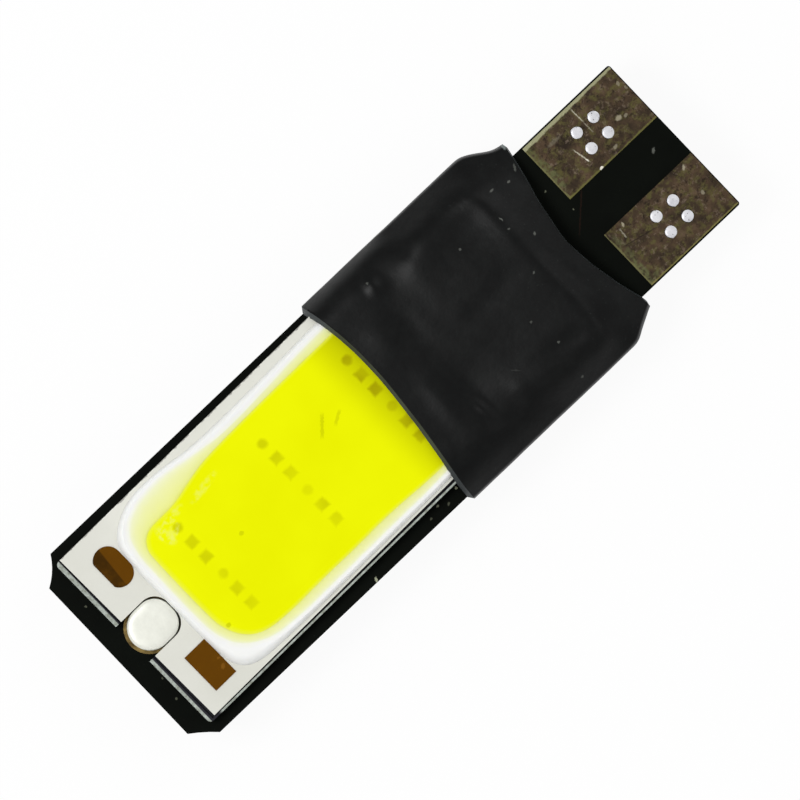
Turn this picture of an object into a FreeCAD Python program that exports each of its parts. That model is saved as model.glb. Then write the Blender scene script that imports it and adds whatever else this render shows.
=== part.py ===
import FreeCAD, Part
import math
import os
import re

import Sketcher

# Flat double-sided wedge-base lamp: one stepped circuit board carries a lit module on each face,
# its driver parts sit under a shrunk sleeve, and the narrow tongue with its contacts is the base.
# The lit end is at -X, the tongue points to +X, and the lamp lies flat with its lowest face at Z = 0.
# All sizes are millimetres.
SIZES = [
    # carrier board
    ("board_length", 38.0),
    ("board_width", 12.2),
    ("board_thick", 2.0),
    ("corner_along", 1.23),
    ("corner_high", 1.2),
    ("corner_low", 1.04),
    ("high_bow", 3.4),
    ("low_bow", 8.0),
    ("tongue_width", 9.5),
    ("tongue_length", 8.6),
    ("tongue_shift", -0.15),
    ("tongue_corner", 0.15),
    ("shoulder_round", 0.4),
    ("shoulder_fillet", 0.5),
    # contacts and filled holes on the tongue
    ("contact_length", 5.98),
    ("contact_setback", 0.05),
    ("contact_near", 1.22),
    ("contact_margin", 0.09),
    ("contact_thick", 0.05),
    ("via_from_tip", 2.91),
    ("via_inset", 0.08),
    ("via_pitch_along", 1.14),
    ("via_pitch_across", 1.06),
    ("via_radius", 0.31),
    # lit module: place on the board
    ("module_setback", 1.12),
    ("module_shift", 0.2),
    ("module_skew", 0.8),
    ("driver_room", 5.7),
    # lit module: plate
    ("bond_thick", 0.1),
    ("bond_inset", 0.3),
    ("plate_margin", 0.6),
    ("plate_thick", 0.8),
    ("plate_round", 0.25),
    ("notch_depth", 2.7),
    ("notch_half", 1.19),
    ("notch_round", 0.88),
    ("bond_notch_gap", 0.4),
    ("ledge_end", 0.26),
    ("ledge_side", 0.1),
    ("ledge_drop", 0.12),
    ("score_wide", 0.18),
    ("score_thin", 0.06),
    ("score_depth", 0.34),
    # lit module: lands for the supply joints
    ("land_thick", 0.035),
    ("land_along", 1.38),
    ("land_across", 2.26),
    ("land_edge", 0.96),
    ("land_round", 0.72),
    ("land_far_along", 0.63),
    ("land_far_across", 0.37),
    # lit module: solder joint in the end notch
    ("rim_thick", 0.05),
    ("rim_reach", 0.16),
    ("rim_margin", 0.11),
    ("joint_stand", 0.2),
    ("joint_bevel", 0.26),
    # lit module: dam, dice and filling
    ("dam_from_lit_end", 2.73),
    ("dam_from_far_end", 2.21),
    ("dam_margin", 0.34),
    ("dam_round", 1.7),
    ("bead_width", 0.95),
    ("bead_height", 0.45),
    ("bead_lean", 0.11),
    ("bead_crown", 0.13),
    ("fill_gap", 0.02),
    ("die_side", 0.5),
    ("die_thick", 0.15),
    ("die_first", 0.6),
    ("die_pitch", 1.0),
    # strips that join the module to the board
    ("strip_inset", 0.84),
    ("strip_start", 0.43),
    ("strip_width", 0.6),
    ("strip_thick", 0.2),
    ("strip_gap", 0.08),
    ("strip_foot", 0.3),
    ("blob_start", 0.78),
    ("blob_half", 0.6),
    ("blob_height", 0.3),
    ("blob_bevel", 0.22),
    # driver packages on the front face
    ("package_setback", 2.65),
    ("package_gap", 0.2),
    ("package_along", 3.9),
    ("package_across", 4.7),
    ("package_height", 1.35),
    ("package_lift", 0.1),
    ("package_bevel", 0.22),
    ("lead_reach", 0.6),
    ("lead_pitch", 2.54),
    ("lead_width", 0.6),
    ("lead_thick", 0.2),
    ("lead_foot", 0.35),
    ("lead_exit", 0.85),
    # load resistors on the back face
    ("resistor_setback", 2.6),
    ("resistor_side", 2.25),
    ("resistor_along", 5.0),
    ("resistor_across", 2.5),
    ("resistor_thick", 0.55),
    ("resistor_end", 0.4),
    # sleeve
    ("sleeve_side_fit", 0.01),
    ("sleeve_face_fit", 0.03),
    ("back_slack", 0.08),
    ("tail_slack", 0.06),
    ("sleeve_wall", 0.325),
    ("corner_growth", 0.6),
    ("sleeve_lap", 3.385),
    ("sleeve_tail", 2.8),
    ("tail_gap", 0.31),
    ("mouth_slant", 0.65),
    ("mouth_bow", 30.0),
    ("tail_trim", 2.83),
    ("tail_slant", 0.41),
    ("tail_bow", 16.5),
    ("ridge_before", 0.6),
    ("dip_after", 0.2),
    ("rise_after", 0.3),
    ("rise_sag", 0.07),
    ("crest_before", 4.95),
    ("crest_slack", 0.12),
    ("edge_before", 0.7),
    ("drape_before", 0.05),
    ("fall_after", 0.6),
    ("fall_stand", 0.7),
    ("fall_back_stand", 0.45),
    ("fall_inset", 0.34),
    ("neck_after", 1.4),
    ("neck_stand", 0.35),
    ("neck_flare", 0.23),
    ("edge_lift", 0.02),
    ("lap_radius", 1.1),
    ("dip_radius", 1.0),
    ("lap_low_lean", 1.2),
    ("lap_back_lean", 1.0),
    ("lap_back_bow", 2.0),
    ("crest_lean", 1.45),
    ("edge_lean", 1.25),
    ("drape_lean", 1.8),
    ("slope_lean", 2.25),
    ("fall_lean", 2.3),
    ("neck_lean", 2.0),
    ("tail_lean", 0.4),
    ("tail_drop", 0.08),
    ("skin_bow", 6.0),
]

# Formulas that several pieces share. X runs from the middle of the board.
TIP = "board_length / 2"
SHOULDER = "(board_length / 2 - tongue_length)"
FRONT_FACE = "board_thick / 2"
MODULE_TOP = "(bond_thick + plate_thick)"
MODULE_LENGTH = "(board_length - tongue_length - driver_room - module_setback)"
PLATE_WIDTH = "(board_width - 2 * plate_margin)"
DAM_LENGTH = f"({MODULE_LENGTH} - dam_from_lit_end - dam_from_far_end)"
DAM_WIDTH = f"({PLATE_WIDTH} - 2 * dam_margin)"
PLATE_LEFT = f"({DAM_LENGTH} / 2 + dam_from_lit_end)"
PLATE_RIGHT = f"({DAM_LENGTH} / 2 + dam_from_far_end)"
MODULE_MIDDLE = f"({PLATE_LEFT} + module_setback - board_length / 2)"
LAND_OUTER = f"({PLATE_WIDTH} / 2 - land_edge)"
LAND_INNER = f"({LAND_OUTER} - land_across)"
STRIP_SIDE = f"({LAND_OUTER} - strip_inset)"
CONTACT_FAR = "(tongue_width / 2 - contact_margin)"
VIA_SIDE = f"((contact_near + {CONTACT_FAR}) / 2 - via_inset)"
RIDGE_HEIGHT = f"(board_thick / 2 + {MODULE_TOP} + bead_height + sleeve_face_fit)"
MID_HEIGHT = f"({RIDGE_HEIGHT} + sleeve_wall)"

doc = FreeCAD.newDocument("wedge_lamp")
sheet = doc.addObject("Spreadsheet::Sheet", "Sizes")
for row, (word, size) in enumerate(SIZES, start=1):
    sheet.set(f"A{row}", word)
    sheet.set(f"B{row}", str(size))
    sheet.setAlias(f"B{row}", word)
doc.recompute()

X_AXIS = FreeCAD.Vector(1, 0, 0)
Z_AXIS = FreeCAD.Vector(0, 0, 1)
nodes = {}


def linked(text):
    """The formula with each size word pointed at the sheet."""
    return re.sub(r"\b([a-z][a-z_]*)\b(?!\()", r"Sizes.\1", text)


def number(text):
    """The value of a formula now."""
    return float(sheet.evalExpression(linked(text)))


def bind(item, prop, text):
    """Ties one property of an object to a formula."""
    item.setExpression(prop, linked(text))


def keep(item, label):
    """Files an object as a sub-part."""
    item.Label = label
    nodes[label] = item
    return item


def new_body(name):
    body = doc.addObject("PartDesign::Body", name)
    body.AllowCompound = True
    return body


def new_sketch(body, name, role="XY_Plane", height="0"):
    """An empty sketch on one of the body's own planes, lifted by a formula."""
    sketch = body.newObject("Sketcher::SketchObject", name)
    plane = [item for item in body.Origin.OriginFeatures if item.Role == role][0]
    sketch.AttachmentSupport = [(plane, "")]
    sketch.MapMode = "FlatFace"
    if height != "0":
        bind(sketch, ".AttachmentOffset.Base.z", height)
    return sketch


def pin_point(sketch, geo, end, across, up):
    """Holds one sketch point at two formulas."""
    for kind, text, axis in (("DistanceX", across, -2), ("DistanceY", up, -1)):
        if text == "0":
            sketch.addConstraint(Sketcher.Constraint("PointOnObject", geo, end, axis))
        else:
            index = sketch.addConstraint(Sketcher.Constraint(kind, -1, 1, geo, end, number(text)))
            bind(sketch, f"Constraints[{index}]", text)


def arc_between(start, stop, radius, turn):
    """The short arc from start to stop; turn +1 runs counter-clockwise, -1 clockwise."""
    chord = stop - start
    rise = math.sqrt(max(radius ** 2 - chord.Length ** 2 / 4, 0.0))
    left = FreeCAD.Vector(-chord.y, chord.x, 0).normalize()
    centre = (start + stop) / 2 + left * rise * turn
    first, last = (start, stop) if turn > 0 else (stop, start)
    angles = [math.atan2(p.y - centre.y, p.x - centre.x) for p in (first, last)]
    return Part.ArcOfCircle(Part.Circle(centre, Z_AXIS, radius), angles[0], angles[1])


def draw(sketch, outline):
    """Adds a closed outline. A point is (across, up), or (across, up, radius, turn) where an arc
    starts; every value is a formula."""
    spots = [FreeCAD.Vector(number(p[0]), number(p[1]), 0) for p in outline]
    ends = []
    for index, point in enumerate(outline):
        start, stop = spots[index], spots[(index + 1) % len(spots)]
        if len(point) == 2:
            geo = sketch.addGeometry(Part.LineSegment(start, stop), False)
            ends.append((geo, 1, 2))
        else:
            turn = point[3]
            geo = sketch.addGeometry(arc_between(start, stop, number(point[2]), turn), False)
            ends.append((geo, 1, 2) if turn > 0 else (geo, 2, 1))
    for index, (geo, _, stop_end) in enumerate(ends):
        after, start_end, _ = ends[(index + 1) % len(ends)]
        sketch.addConstraint(Sketcher.Constraint("Coincident", geo, stop_end, after, start_end))
    for point, (geo, start_end, _) in zip(outline, ends):
        pin_point(sketch, geo, start_end, point[0], point[1])
        if len(point) == 4:
            index = sketch.addConstraint(Sketcher.Constraint("Radius", geo, number(point[2])))
            bind(sketch, f"Constraints[{index}]", point[2])


def draw_circle(sketch, across, up, radius):
    centre = FreeCAD.Vector(number(across), number(up), 0)
    geo = sketch.addGeometry(Part.Circle(centre, Z_AXIS, number(radius)), False)
    pin_point(sketch, geo, 3, across, up)
    index = sketch.addConstraint(Sketcher.Constraint("Radius", geo, number(radius)))
    bind(sketch, f"Constraints[{index}]", radius)


def rectangle(left, low, right, high):
    return [(left, low), (right, low), (right, high), (left, high)]


def rounded_rectangle(half_long, half_wide, radius):
    """Outline about the origin that starts at the middle of its lower side."""
    return [
        ("0", f"-({half_wide})"),
        (f"({half_long}) - ({radius})", f"-({half_wide})", radius, 1),
        (half_long, f"({radius}) - ({half_wide})"),
        (half_long, f"({half_wide}) - ({radius})", radius, 1),
        (f"({half_long}) - ({radius})", half_wide),
        (f"({radius}) - ({half_long})", half_wide, radius, 1),
        (f"-({half_long})", f"({half_wide}) - ({radius})"),
        (f"-({half_long})", f"({radius}) - ({half_wide})", radius, 1),
        (f"({radius}) - ({half_long})", f"-({half_wide})"),
    ]


def add_pad(body, sketch, length, middle=False):
    pad = body.newObject("PartDesign::Pad", sketch.Name + "_pad")
    pad.Profile = sketch
    bind(pad, "Length", length)
    if middle:
        pad.SideType = "Symmetric"
    return pad


def add_pocket(body, sketch, depth=None):
    """Cuts down from the sketch by a depth, or right through both ways without one."""
    before = body.Shape.Volume
    pocket = body.newObject("PartDesign::Pocket", sketch.Name + "_pocket")
    pocket.Profile = sketch
    if depth is None:
        pocket.Type = "ThroughAll"
        pocket.SideType = "Symmetric"
    else:
        bind(pocket, "Length", depth)
    doc.recompute()
    if not body.Shape.Volume < before:
        raise RuntimeError(sketch.Name + " cut nothing")
    return pocket


def add_bevel(body, source, height, size):
    """Bevels every edge of a feature that lies wholly at one height."""
    doc.recompute()
    level = number(height)
    names = []
    for index, edge in enumerate(source.Shape.Edges, start=1):
        box = edge.BoundBox
        if abs(box.ZMin - level) < 1e-4 and abs(box.ZMax - level) < 1e-4:
            names.append(f"Edge{index}")
    bevel = body.newObject("PartDesign::Chamfer", source.Name + "_bevel")
    bevel.Base = (source, names)
    bind(bevel, "Size", size)


def place_on_board(item, side, along="0", across="0"):
    """Puts an item on a board face: its own origin is on that face, its +Z points away from it."""
    if side > 0:
        bind(item, ".Placement.Base.z", f"{MID_HEIGHT} + board_thick / 2")
    else:
        item.Placement = FreeCAD.Placement(FreeCAD.Vector(), FreeCAD.Rotation(X_AXIS, 180))
        bind(item, ".Placement.Base.z", f"{MID_HEIGHT} - board_thick / 2")
    if along != "0":
        bind(item, ".Placement.Base.x", along)
    if across != "0":
        bind(item, ".Placement.Base.y", across)


def place_in_module(item, side):
    """Puts an item in a lit module; the front module sits a little off centre and askew."""
    place_on_board(item, side, MODULE_MIDDLE, "module_shift" if side > 0 else "0")
    if side > 0:
        item.Placement = FreeCAD.Placement(item.Placement.Base, FreeCAD.Rotation(Z_AXIS, 1))
        bind(item, ".Placement.Rotation.Angle", "module_skew")


def make_board():
    """Stepped board with hollow-cut corners at the lit end and eight drilled holes in the tongue."""
    body = new_body("board")
    end, side, shoulder = TIP, "board_width / 2", SHOULDER
    low, high = "tongue_shift - tongue_width / 2", "tongue_shift + tongue_width / 2"
    sketch = new_sketch(body, "board_outline")
    draw(sketch, [
        (f"corner_along - {end}", f"-{side}"),
        (f"{shoulder} - shoulder_round", f"-{side}", "shoulder_round", 1),
        (shoulder, f"shoulder_round - {side}"),
        (shoulder, f"{low} - shoulder_fillet", "shoulder_fillet", -1),
        (f"{shoulder} + shoulder_fillet", low),
        (f"{end} - tongue_corner", low, "tongue_corner", 1),
        (end, f"{low} + tongue_corner"),
        (end, f"{high} - tongue_corner", "tongue_corner", 1),
        (f"{end} - tongue_corner", high),
        (f"{shoulder} + shoulder_fillet", high, "shoulder_fillet", -1),
        (shoulder, f"{high} + shoulder_fillet"),
        (shoulder, f"{side} - shoulder_round", "shoulder_round", 1),
        (f"{shoulder} - shoulder_round", side),
        (f"corner_along - {end}", side, "high_bow", -1),
        (f"-{end}", f"{side} - corner_high"),
        (f"-{end}", f"corner_low - {side}", "low_bow", -1),
    ])
    add_pad(body, sketch, "board_thick", middle=True)
    doc.recompute()
    holes = new_sketch(body, "board_holes")
    for side_sign in (1, -1):
        draw_vias(holes, side_sign)
    add_pocket(body, holes)
    bind(body, ".Placement.Base.z", MID_HEIGHT)
    keep(body, "carrier_board")


def draw_vias(sketch, side_sign):
    """Four circles in a square group on one half of the tongue."""
    for along in (-1, 1):
        for across in (-1, 1):
            draw_circle(
                sketch,
                f"{TIP} - via_from_tip + {along} * via_pitch_along / 2",
                f"tongue_shift + {side_sign} * {VIA_SIDE} + {across} * via_pitch_across / 2",
                "via_radius",
            )


def make_contact(label, side_sign):
    """One pole: a plated face on each side of the tongue, pierced by the four drilled holes."""
    body = new_body(label + "_body")
    low, high = (f"tongue_shift + {side_sign} * {edge}" for edge in ("contact_near", CONTACT_FAR))
    if side_sign < 0:
        low, high = high, low
    faces = (("front", FRONT_FACE), ("back", "-board_thick / 2 - contact_thick"))
    for face, height in faces:
        sketch = new_sketch(body, f"{label}_{face}", height=height)
        draw(sketch, rectangle(f"{TIP} - contact_length", low, f"{TIP} - contact_setback", high))
        draw_vias(sketch, side_sign)
        add_pad(body, sketch, "contact_thick")
    bind(body, ".Placement.Base.z", MID_HEIGHT)
    keep(body, label)


def make_via_fill():
    """Solder that fills the eight drilled holes flush with the contact faces."""
    body = new_body("via_fill_body")
    sketch = new_sketch(body, "via_fill")
    for side_sign in (1, -1):
        draw_vias(sketch, side_sign)
    add_pad(body, sketch, "board_thick + 2 * contact_thick", middle=True)
    bind(body, ".Placement.Base.z", MID_HEIGHT)
    keep(body, "via_solder")


def plate_outline():
    """Plate with small round corners and a round-cornered notch in its -X end."""
    low, high = f"-{PLATE_WIDTH} / 2", f"{PLATE_WIDTH} / 2"
    left, right = f"-{PLATE_LEFT}", PLATE_RIGHT
    floor = f"notch_depth - {PLATE_LEFT}"
    return [
        (f"{left} + plate_round", low),
        (f"{right} - plate_round", low, "plate_round", 1),
        (right, f"{low} + plate_round"),
        (right, f"{high} - plate_round", "plate_round", 1),
        (f"{right} - plate_round", high),
        (f"{left} + plate_round", high, "plate_round", 1),
        (left, f"{high} - plate_round"),
        (left, "notch_half"),
        (f"{floor} - notch_round", "notch_half", "notch_round", -1),
        (floor, "notch_half - notch_round"),
        (floor, "notch_round - notch_half", "notch_round", -1),
        (f"{floor} - notch_round", "-notch_half"),
        (left, "-notch_half"),
        (left, f"{low} + plate_round", "plate_round", 1),
    ]


def make_plate(name, side):
    """Bond layer and metal plate. The plate keeps a snapped-off ledge behind a scored line on its
    -X and -Y sides."""
    bond = new_body(name + "_bond_body")
    sketch = new_sketch(bond, name + "_bond")
    left, right = f"bond_inset - {PLATE_LEFT}", f"{PLATE_RIGHT} - bond_inset"
    side_edge, gap = f"{PLATE_WIDTH} / 2 - bond_inset", "notch_half + bond_notch_gap"
    floor = f"notch_depth + bond_notch_gap - {PLATE_LEFT}"
    draw(sketch, [
        (left, f"-({side_edge})"),
        (right, f"-({side_edge})"),
        (right, side_edge),
        (left, side_edge),
        (left, gap),
        (floor, gap),
        (floor, f"-({gap})"),
        (left, f"-({gap})"),
    ])
    add_pad(bond, sketch, "bond_thick")
    place_in_module(bond, side)
    keep(bond, name + "_bond_layer")

    plate = new_body(name + "_plate_body")
    sketch = new_sketch(plate, name + "_plate", height="bond_thick")
    draw(sketch, plate_outline())
    add_pad(plate, sketch, "plate_thick")
    doc.recompute()
    # A cut runs down the -X side and along the -Y side: its distance from the plate's outer edge,
    # then its width at the +Y end, at the corner and at the +X end.
    cuts = (
        ("ledge", "0", "0", ("ledge_end", "ledge_end", "ledge_side", "ledge_side"), "ledge_drop"),
        ("score", "ledge_end", "ledge_side", ("score_thin", "score_wide", "score_thin", "score_wide"),
         "score_depth"),
    )
    for cut, end, edge, (first, corner_end, corner_edge, last), depth in cuts:
        sketch = new_sketch(plate, f"{name}_{cut}", height=MODULE_TOP)
        draw(sketch, [
            (f"{end} - {PLATE_LEFT}", f"{edge} - {PLATE_WIDTH} / 2"),
            (PLATE_RIGHT, f"{edge} - {PLATE_WIDTH} / 2"),
            (PLATE_RIGHT, f"{edge} + {last} - {PLATE_WIDTH} / 2"),
            (f"{end} + {corner_end} - {PLATE_LEFT}", f"{edge} + {corner_edge} - {PLATE_WIDTH} / 2"),
            (f"{end} + {first} - {PLATE_LEFT}", f"{PLATE_WIDTH} / 2"),
            (f"{end} - {PLATE_LEFT}", f"{PLATE_WIDTH} / 2"),
        ])
        add_pocket(plate, sketch, depth)
    place_in_module(plate, side)
    keep(plate, name + "_plate")


def make_lands(name, side):
    """Supply lands on the plate: at the lit end a square one and one with bowed corners, at the far
    end, under the sleeve, two plain ones."""
    body = new_body(name + "_lands_body")
    near, far = f"-{DAM_LENGTH} / 2", f"-({DAM_LENGTH} / 2 + land_along)"
    sketch = new_sketch(body, f"{name}_lands_open", height=MODULE_TOP)
    draw(sketch, rectangle(far, f"-{LAND_OUTER}", near, f"-{LAND_INNER}"))
    draw(sketch, [
        (f"{far} + land_far_along", LAND_INNER),
        (f"{near} - land_round", LAND_INNER, "land_round", 1),
        (near, f"{LAND_INNER} + land_round"),
        (near, f"{LAND_OUTER} - land_round", "land_round", 1),
        (f"{near} - land_round", LAND_OUTER),
        (f"{far} + land_far_along", LAND_OUTER, "land_round", 1),
        (far, f"{LAND_OUTER} - land_far_across"),
        (far, f"{LAND_INNER} + land_far_across", "land_round", 1),
    ])
    add_pad(body, sketch, "land_thick")
    sketch = new_sketch(body, f"{name}_lands_covered", height=MODULE_TOP)
    near, far = f"{DAM_LENGTH} / 2", f"({DAM_LENGTH} / 2 + land_along)"
    draw(sketch, rectangle(near, f"-{LAND_OUTER}", far, f"-{LAND_INNER}"))
    draw(sketch, rectangle(near, LAND_INNER, far, LAND_OUTER))
    add_pad(body, sketch, "land_thick")
    place_in_module(body, side)
    keep(body, name + "_supply_lands")


def make_end_joint(name, side):
    """Copper rim on the board and the flat-topped solder joint that fills the plate's notch."""
    rim = new_body(name + "_rim_body")
    sketch = new_sketch(rim, name + "_rim")
    left, back, rim_half = f"-{PLATE_LEFT}", f"notch_depth - {PLATE_LEFT}", "(notch_half + rim_margin)"
    draw(sketch, [
        (f"{left} + {rim_half} - rim_reach", f"-{rim_half}"),
        (back, f"-{rim_half}"),
        (back, rim_half),
        (f"{left} + {rim_half} - rim_reach", rim_half, rim_half, 1),
        (f"{left} - rim_reach", "0", rim_half, 1),
    ])
    add_pad(rim, sketch, "rim_thick")
    place_in_module(rim, side)
    keep(rim, name + "_copper_rim")

    joint = new_body(name + "_joint_body")
    sketch = new_sketch(joint, name + "_joint", height="rim_thick")
    straight, height = f"{back} - notch_round", f"({MODULE_TOP} + joint_stand - rim_thick)"
    draw(sketch, [
        (f"{left} + notch_half", "-notch_half"),
        (straight, "-notch_half", "notch_round", 1),
        (back, "notch_round - notch_half"),
        (back, "notch_half - notch_round", "notch_round", 1),
        (straight, "notch_half"),
        (f"{left} + notch_half", "notch_half", "notch_half", 1),
        (left, "0", "notch_half", 1),
    ])
    pad = add_pad(joint, sketch, height)
    add_bevel(joint, pad, f"rim_thick + {height}", "joint_bevel")
    place_in_module(joint, side)
    keep(joint, name + "_end_solder")


def make_light_field(name, side):
    """Dam bead swept round the field, the light dice inside it and the filling over them."""
    base = MODULE_TOP
    half_long, half_wide = f"({DAM_LENGTH} - bead_width) / 2", f"({DAM_WIDTH} - bead_width) / 2"
    radius = "dam_round - bead_width / 2"
    dam = new_body(name + "_dam_body")
    path = new_sketch(dam, name + "_dam_path", height=base)
    draw(path, rounded_rectangle(half_long, half_wide, radius))
    bead = new_sketch(dam, name + "_dam_bead", role="YZ_Plane")
    flank, lean = f"{base} + bead_height - bead_crown", "(bead_width / 2 - bead_lean)"
    draw(bead, [
        (f"-({half_wide}) - bead_width / 2", base),
        (f"-({half_wide}) + bead_width / 2", base),
        (f"-({half_wide}) + {lean}", flank, f"({lean} ^ 2 + bead_crown ^ 2) / (2 * bead_crown)", 1),
        (f"-({half_wide}) - {lean}", flank),
    ])
    doc.recompute()
    sweep = dam.newObject("PartDesign::AdditivePipe", name + "_dam_sweep")
    sweep.Profile = bead
    sweep.Spine = path
    place_in_module(dam, side)
    keep(dam, name + "_dam")

    dice = []
    places = [(column, sign, row) for column in (-1, 0, 1) for sign in (1, -1) for row in (0, 1, 2)]
    for count, (column, sign, row) in enumerate(places, start=1):
        die = doc.addObject("Part::Box", f"{name}_die_{count}")
        for prop, text in (("Length", "die_side"), ("Width", "die_side"), ("Height", "die_thick")):
            bind(die, prop, text)
        bind(die, ".Placement.Base.x", f"{column} * {DAM_LENGTH} / 3 - die_side / 2")
        bind(die, ".Placement.Base.y", f"{sign} * (die_first + {row} * die_pitch) - die_side / 2")
        bind(die, ".Placement.Base.z", base)
        dice.append(die)
    group = doc.addObject("Part::Compound", name + "_dice_group")
    group.Links = dice
    place_in_module(group, side)
    keep(group, name + "_light_dice")

    block = new_body(name + "_fill_body")
    sketch = new_sketch(block, name + "_fill", height=base)
    draw(sketch, rounded_rectangle(half_long, half_wide, radius))
    add_pad(block, sketch, "bead_height - fill_gap")
    place_in_module(block, side)
    inside = doc.addObject("Part::Cut", name + "_fill_inside")
    inside.Base = block
    inside.Tool = dam
    fill = doc.addObject("Part::Cut", name + "_fill_over_dice")
    fill.Base = inside
    fill.Tool = group
    keep(fill, name + "_phosphor_fill")


def pair_across(body, feature, length):
    """Repeats a feature once along the body's Y."""
    pattern = body.newObject("PartDesign::LinearPattern", feature.Name + "_pair")
    pattern.Originals = [feature]
    axis = [item for item in body.Origin.OriginFeatures if item.Role == "Y_Axis"][0]
    pattern.Direction = (axis, [""])
    bind(pattern, "Length", length)
    pattern.Occurrences = 2
    body.Tip = pattern


def make_strips(name, side):
    """Two bent strips from the plate's lands down to the board, and the solder on them."""
    body = new_body(name + "_strips_body")
    sketch = new_sketch(body, name + "_strips", role="XZ_Plane", height=STRIP_SIDE)
    start, low = f"{DAM_LENGTH} / 2 + strip_start", f"({MODULE_TOP} + land_thick)"
    drop = f"{PLATE_RIGHT} + strip_gap"
    draw(sketch, [
        (start, low),
        (drop, low),
        (drop, "0"),
        (f"{drop} + strip_foot", "0"),
        (f"{drop} + strip_foot", "strip_thick"),
        (f"{drop} + strip_thick", "strip_thick"),
        (f"{drop} + strip_thick", f"{low} + strip_thick"),
        (start, f"{low} + strip_thick"),
    ])
    pad = add_pad(body, sketch, "strip_width", middle=True)
    doc.recompute()
    pair_across(body, pad, f"2 * {STRIP_SIDE}")
    place_in_module(body, side)
    keep(body, name + "_supply_strips")

    caps = new_body(name + "_blobs_body")
    sketch = new_sketch(caps, name + "_blobs", height=low)
    middle = f"({DAM_LENGTH} / 2 + blob_start)"
    for sign in ("1", "-1"):
        across = f"{sign} * {STRIP_SIDE}"
        draw(sketch, rectangle(f"{middle} - blob_half", f"{across} - blob_half",
                               f"{middle} + blob_half", f"{across} + blob_half"))
    pad = add_pad(caps, sketch, "blob_height")
    add_bevel(caps, pad, f"{low} + blob_height", "blob_bevel")
    place_in_module(caps, side)
    solder = doc.addObject("Part::Cut", name + "_blobs_on_strips")
    solder.Base = caps
    solder.Tool = body
    keep(solder, name + "_strip_solder")


def make_package(label, across):
    """Moulded driver package with two bent leads at each end."""
    body = new_body(label + "_body")
    half_along, half_across = "package_along / 2", "package_across / 2"
    sketch = new_sketch(body, label + "_block", height="package_lift")
    draw(sketch, rectangle(f"-{half_along}", f"-{half_across}", half_along, half_across))
    pad = add_pad(body, sketch, "package_height")
    add_bevel(body, pad, "package_lift + package_height", "package_bevel")
    leads = new_body(label + "_leads_body")
    sketch = new_sketch(leads, label + "_leads", role="XZ_Plane", height="lead_pitch / 2")
    toe = "(package_along / 2 + lead_reach)"
    knee = f"({toe} - lead_foot)"
    for sign in ("1", "-1"):
        draw(sketch, [
            (f"{sign} * {half_along}", "lead_exit - lead_thick"),
            (f"{sign} * ({knee} - lead_thick)", "lead_exit - lead_thick"),
            (f"{sign} * ({knee} - lead_thick)", "0"),
            (f"{sign} * {toe}", "0"),
            (f"{sign} * {toe}", "lead_thick"),
            (f"{sign} * {knee}", "lead_thick"),
            (f"{sign} * {knee}", "lead_exit"),
            (f"{sign} * {half_along}", "lead_exit"),
        ])
    pad = add_pad(leads, sketch, "lead_width", middle=True)
    doc.recompute()
    pair_across(leads, pad, "lead_pitch")
    for item, ending in ((body, ""), (leads, "_leads")):
        place_on_board(item, 1, f"{SHOULDER} - package_setback", across)
        keep(item, label + ending)


def make_resistors():
    """Two flat load resistors on the back face, with tinned ends."""
    cores, ends = [], []
    for sign in (1, -1):
        for piece, start, length, bucket in (
            ("core", "resistor_end - resistor_along / 2", "resistor_along - 2 * resistor_end", cores),
            ("end_a", "-resistor_along / 2", "resistor_end", ends),
            ("end_b", "resistor_along / 2 - resistor_end", "resistor_end", ends),
        ):
            box = doc.addObject("Part::Box", f"resistor_{piece}_{'p' if sign > 0 else 'n'}")
            bind(box, "Length", length)
            bind(box, "Width", "resistor_across")
            bind(box, "Height", "resistor_thick")
            bind(box, ".Placement.Base.x", start)
            centre = f"{sign} * (board_width / 2 - resistor_side - resistor_across / 2)"
            bind(box, ".Placement.Base.y", f"{centre} - resistor_across / 2")
            bucket.append(box)
    for label, boxes in (("back_resistors", cores), ("back_resistor_ends", ends)):
        group = doc.addObject("Part::Compound", label + "_group")
        group.Links = boxes
        place_on_board(group, -1, f"{SHOULDER} - resistor_setback")
        keep(group, label)


DAM_END = f"({MODULE_MIDDLE} + {DAM_LENGTH} / 2)"
DIP_HEIGHT = f"(board_thick / 2 + {MODULE_TOP} + land_thick + blob_height + sleeve_face_fit)"
CREST_HEIGHT = "(board_thick / 2 + package_lift + package_height + sleeve_face_fit)"
REST_HEIGHT = "(board_thick / 2 + resistor_thick + back_slack)"
FALL_HEIGHT = "(board_thick / 2 + fall_stand)"
TAIL_HEIGHT = "(board_thick / 2 + contact_thick + tail_slack)"
BOARD_HALF = "(board_width / 2 + sleeve_side_fit)"
TAIL_HALF = "(tongue_width / 2 + tail_gap)"

# Bowed corners of the sleeve's inner face: how far the bow leans in, the height where it starts, and
# its radius. A station has one at +Y and one at -Y of the front face, and one that both sides of the
# back face share.
BOARD_EDGE = "(board_thick / 2 + edge_lift)"
TONGUE_EDGE = "(board_thick / 2 - tail_drop)"
LAP_HIGH = ("lap_radius", f"({RIDGE_HEIGHT} - lap_radius)", "lap_radius")
DIP_HIGH = ("dip_radius", f"({DIP_HEIGHT} - dip_radius)", "dip_radius")
LAP_LOW = ("lap_low_lean", BOARD_EDGE, "skin_bow")
LAP_BACK = ("lap_back_lean", BOARD_EDGE, "lap_back_bow")
CREST_BOW = ("crest_lean", BOARD_EDGE, "skin_bow")
EDGE_BOW = ("edge_lean", BOARD_EDGE, "skin_bow")
DRAPE_BOW = ("drape_lean", BOARD_EDGE, "skin_bow")
SLOPE = ("slope_lean", BOARD_EDGE, "2 * skin_bow")
FALLING = ("fall_lean", BOARD_EDGE, "skin_bow")
NECK = ("neck_lean", TONGUE_EDGE, "skin_bow")
TAIL = ("tail_lean", TONGUE_EDGE, "skin_bow")

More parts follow.
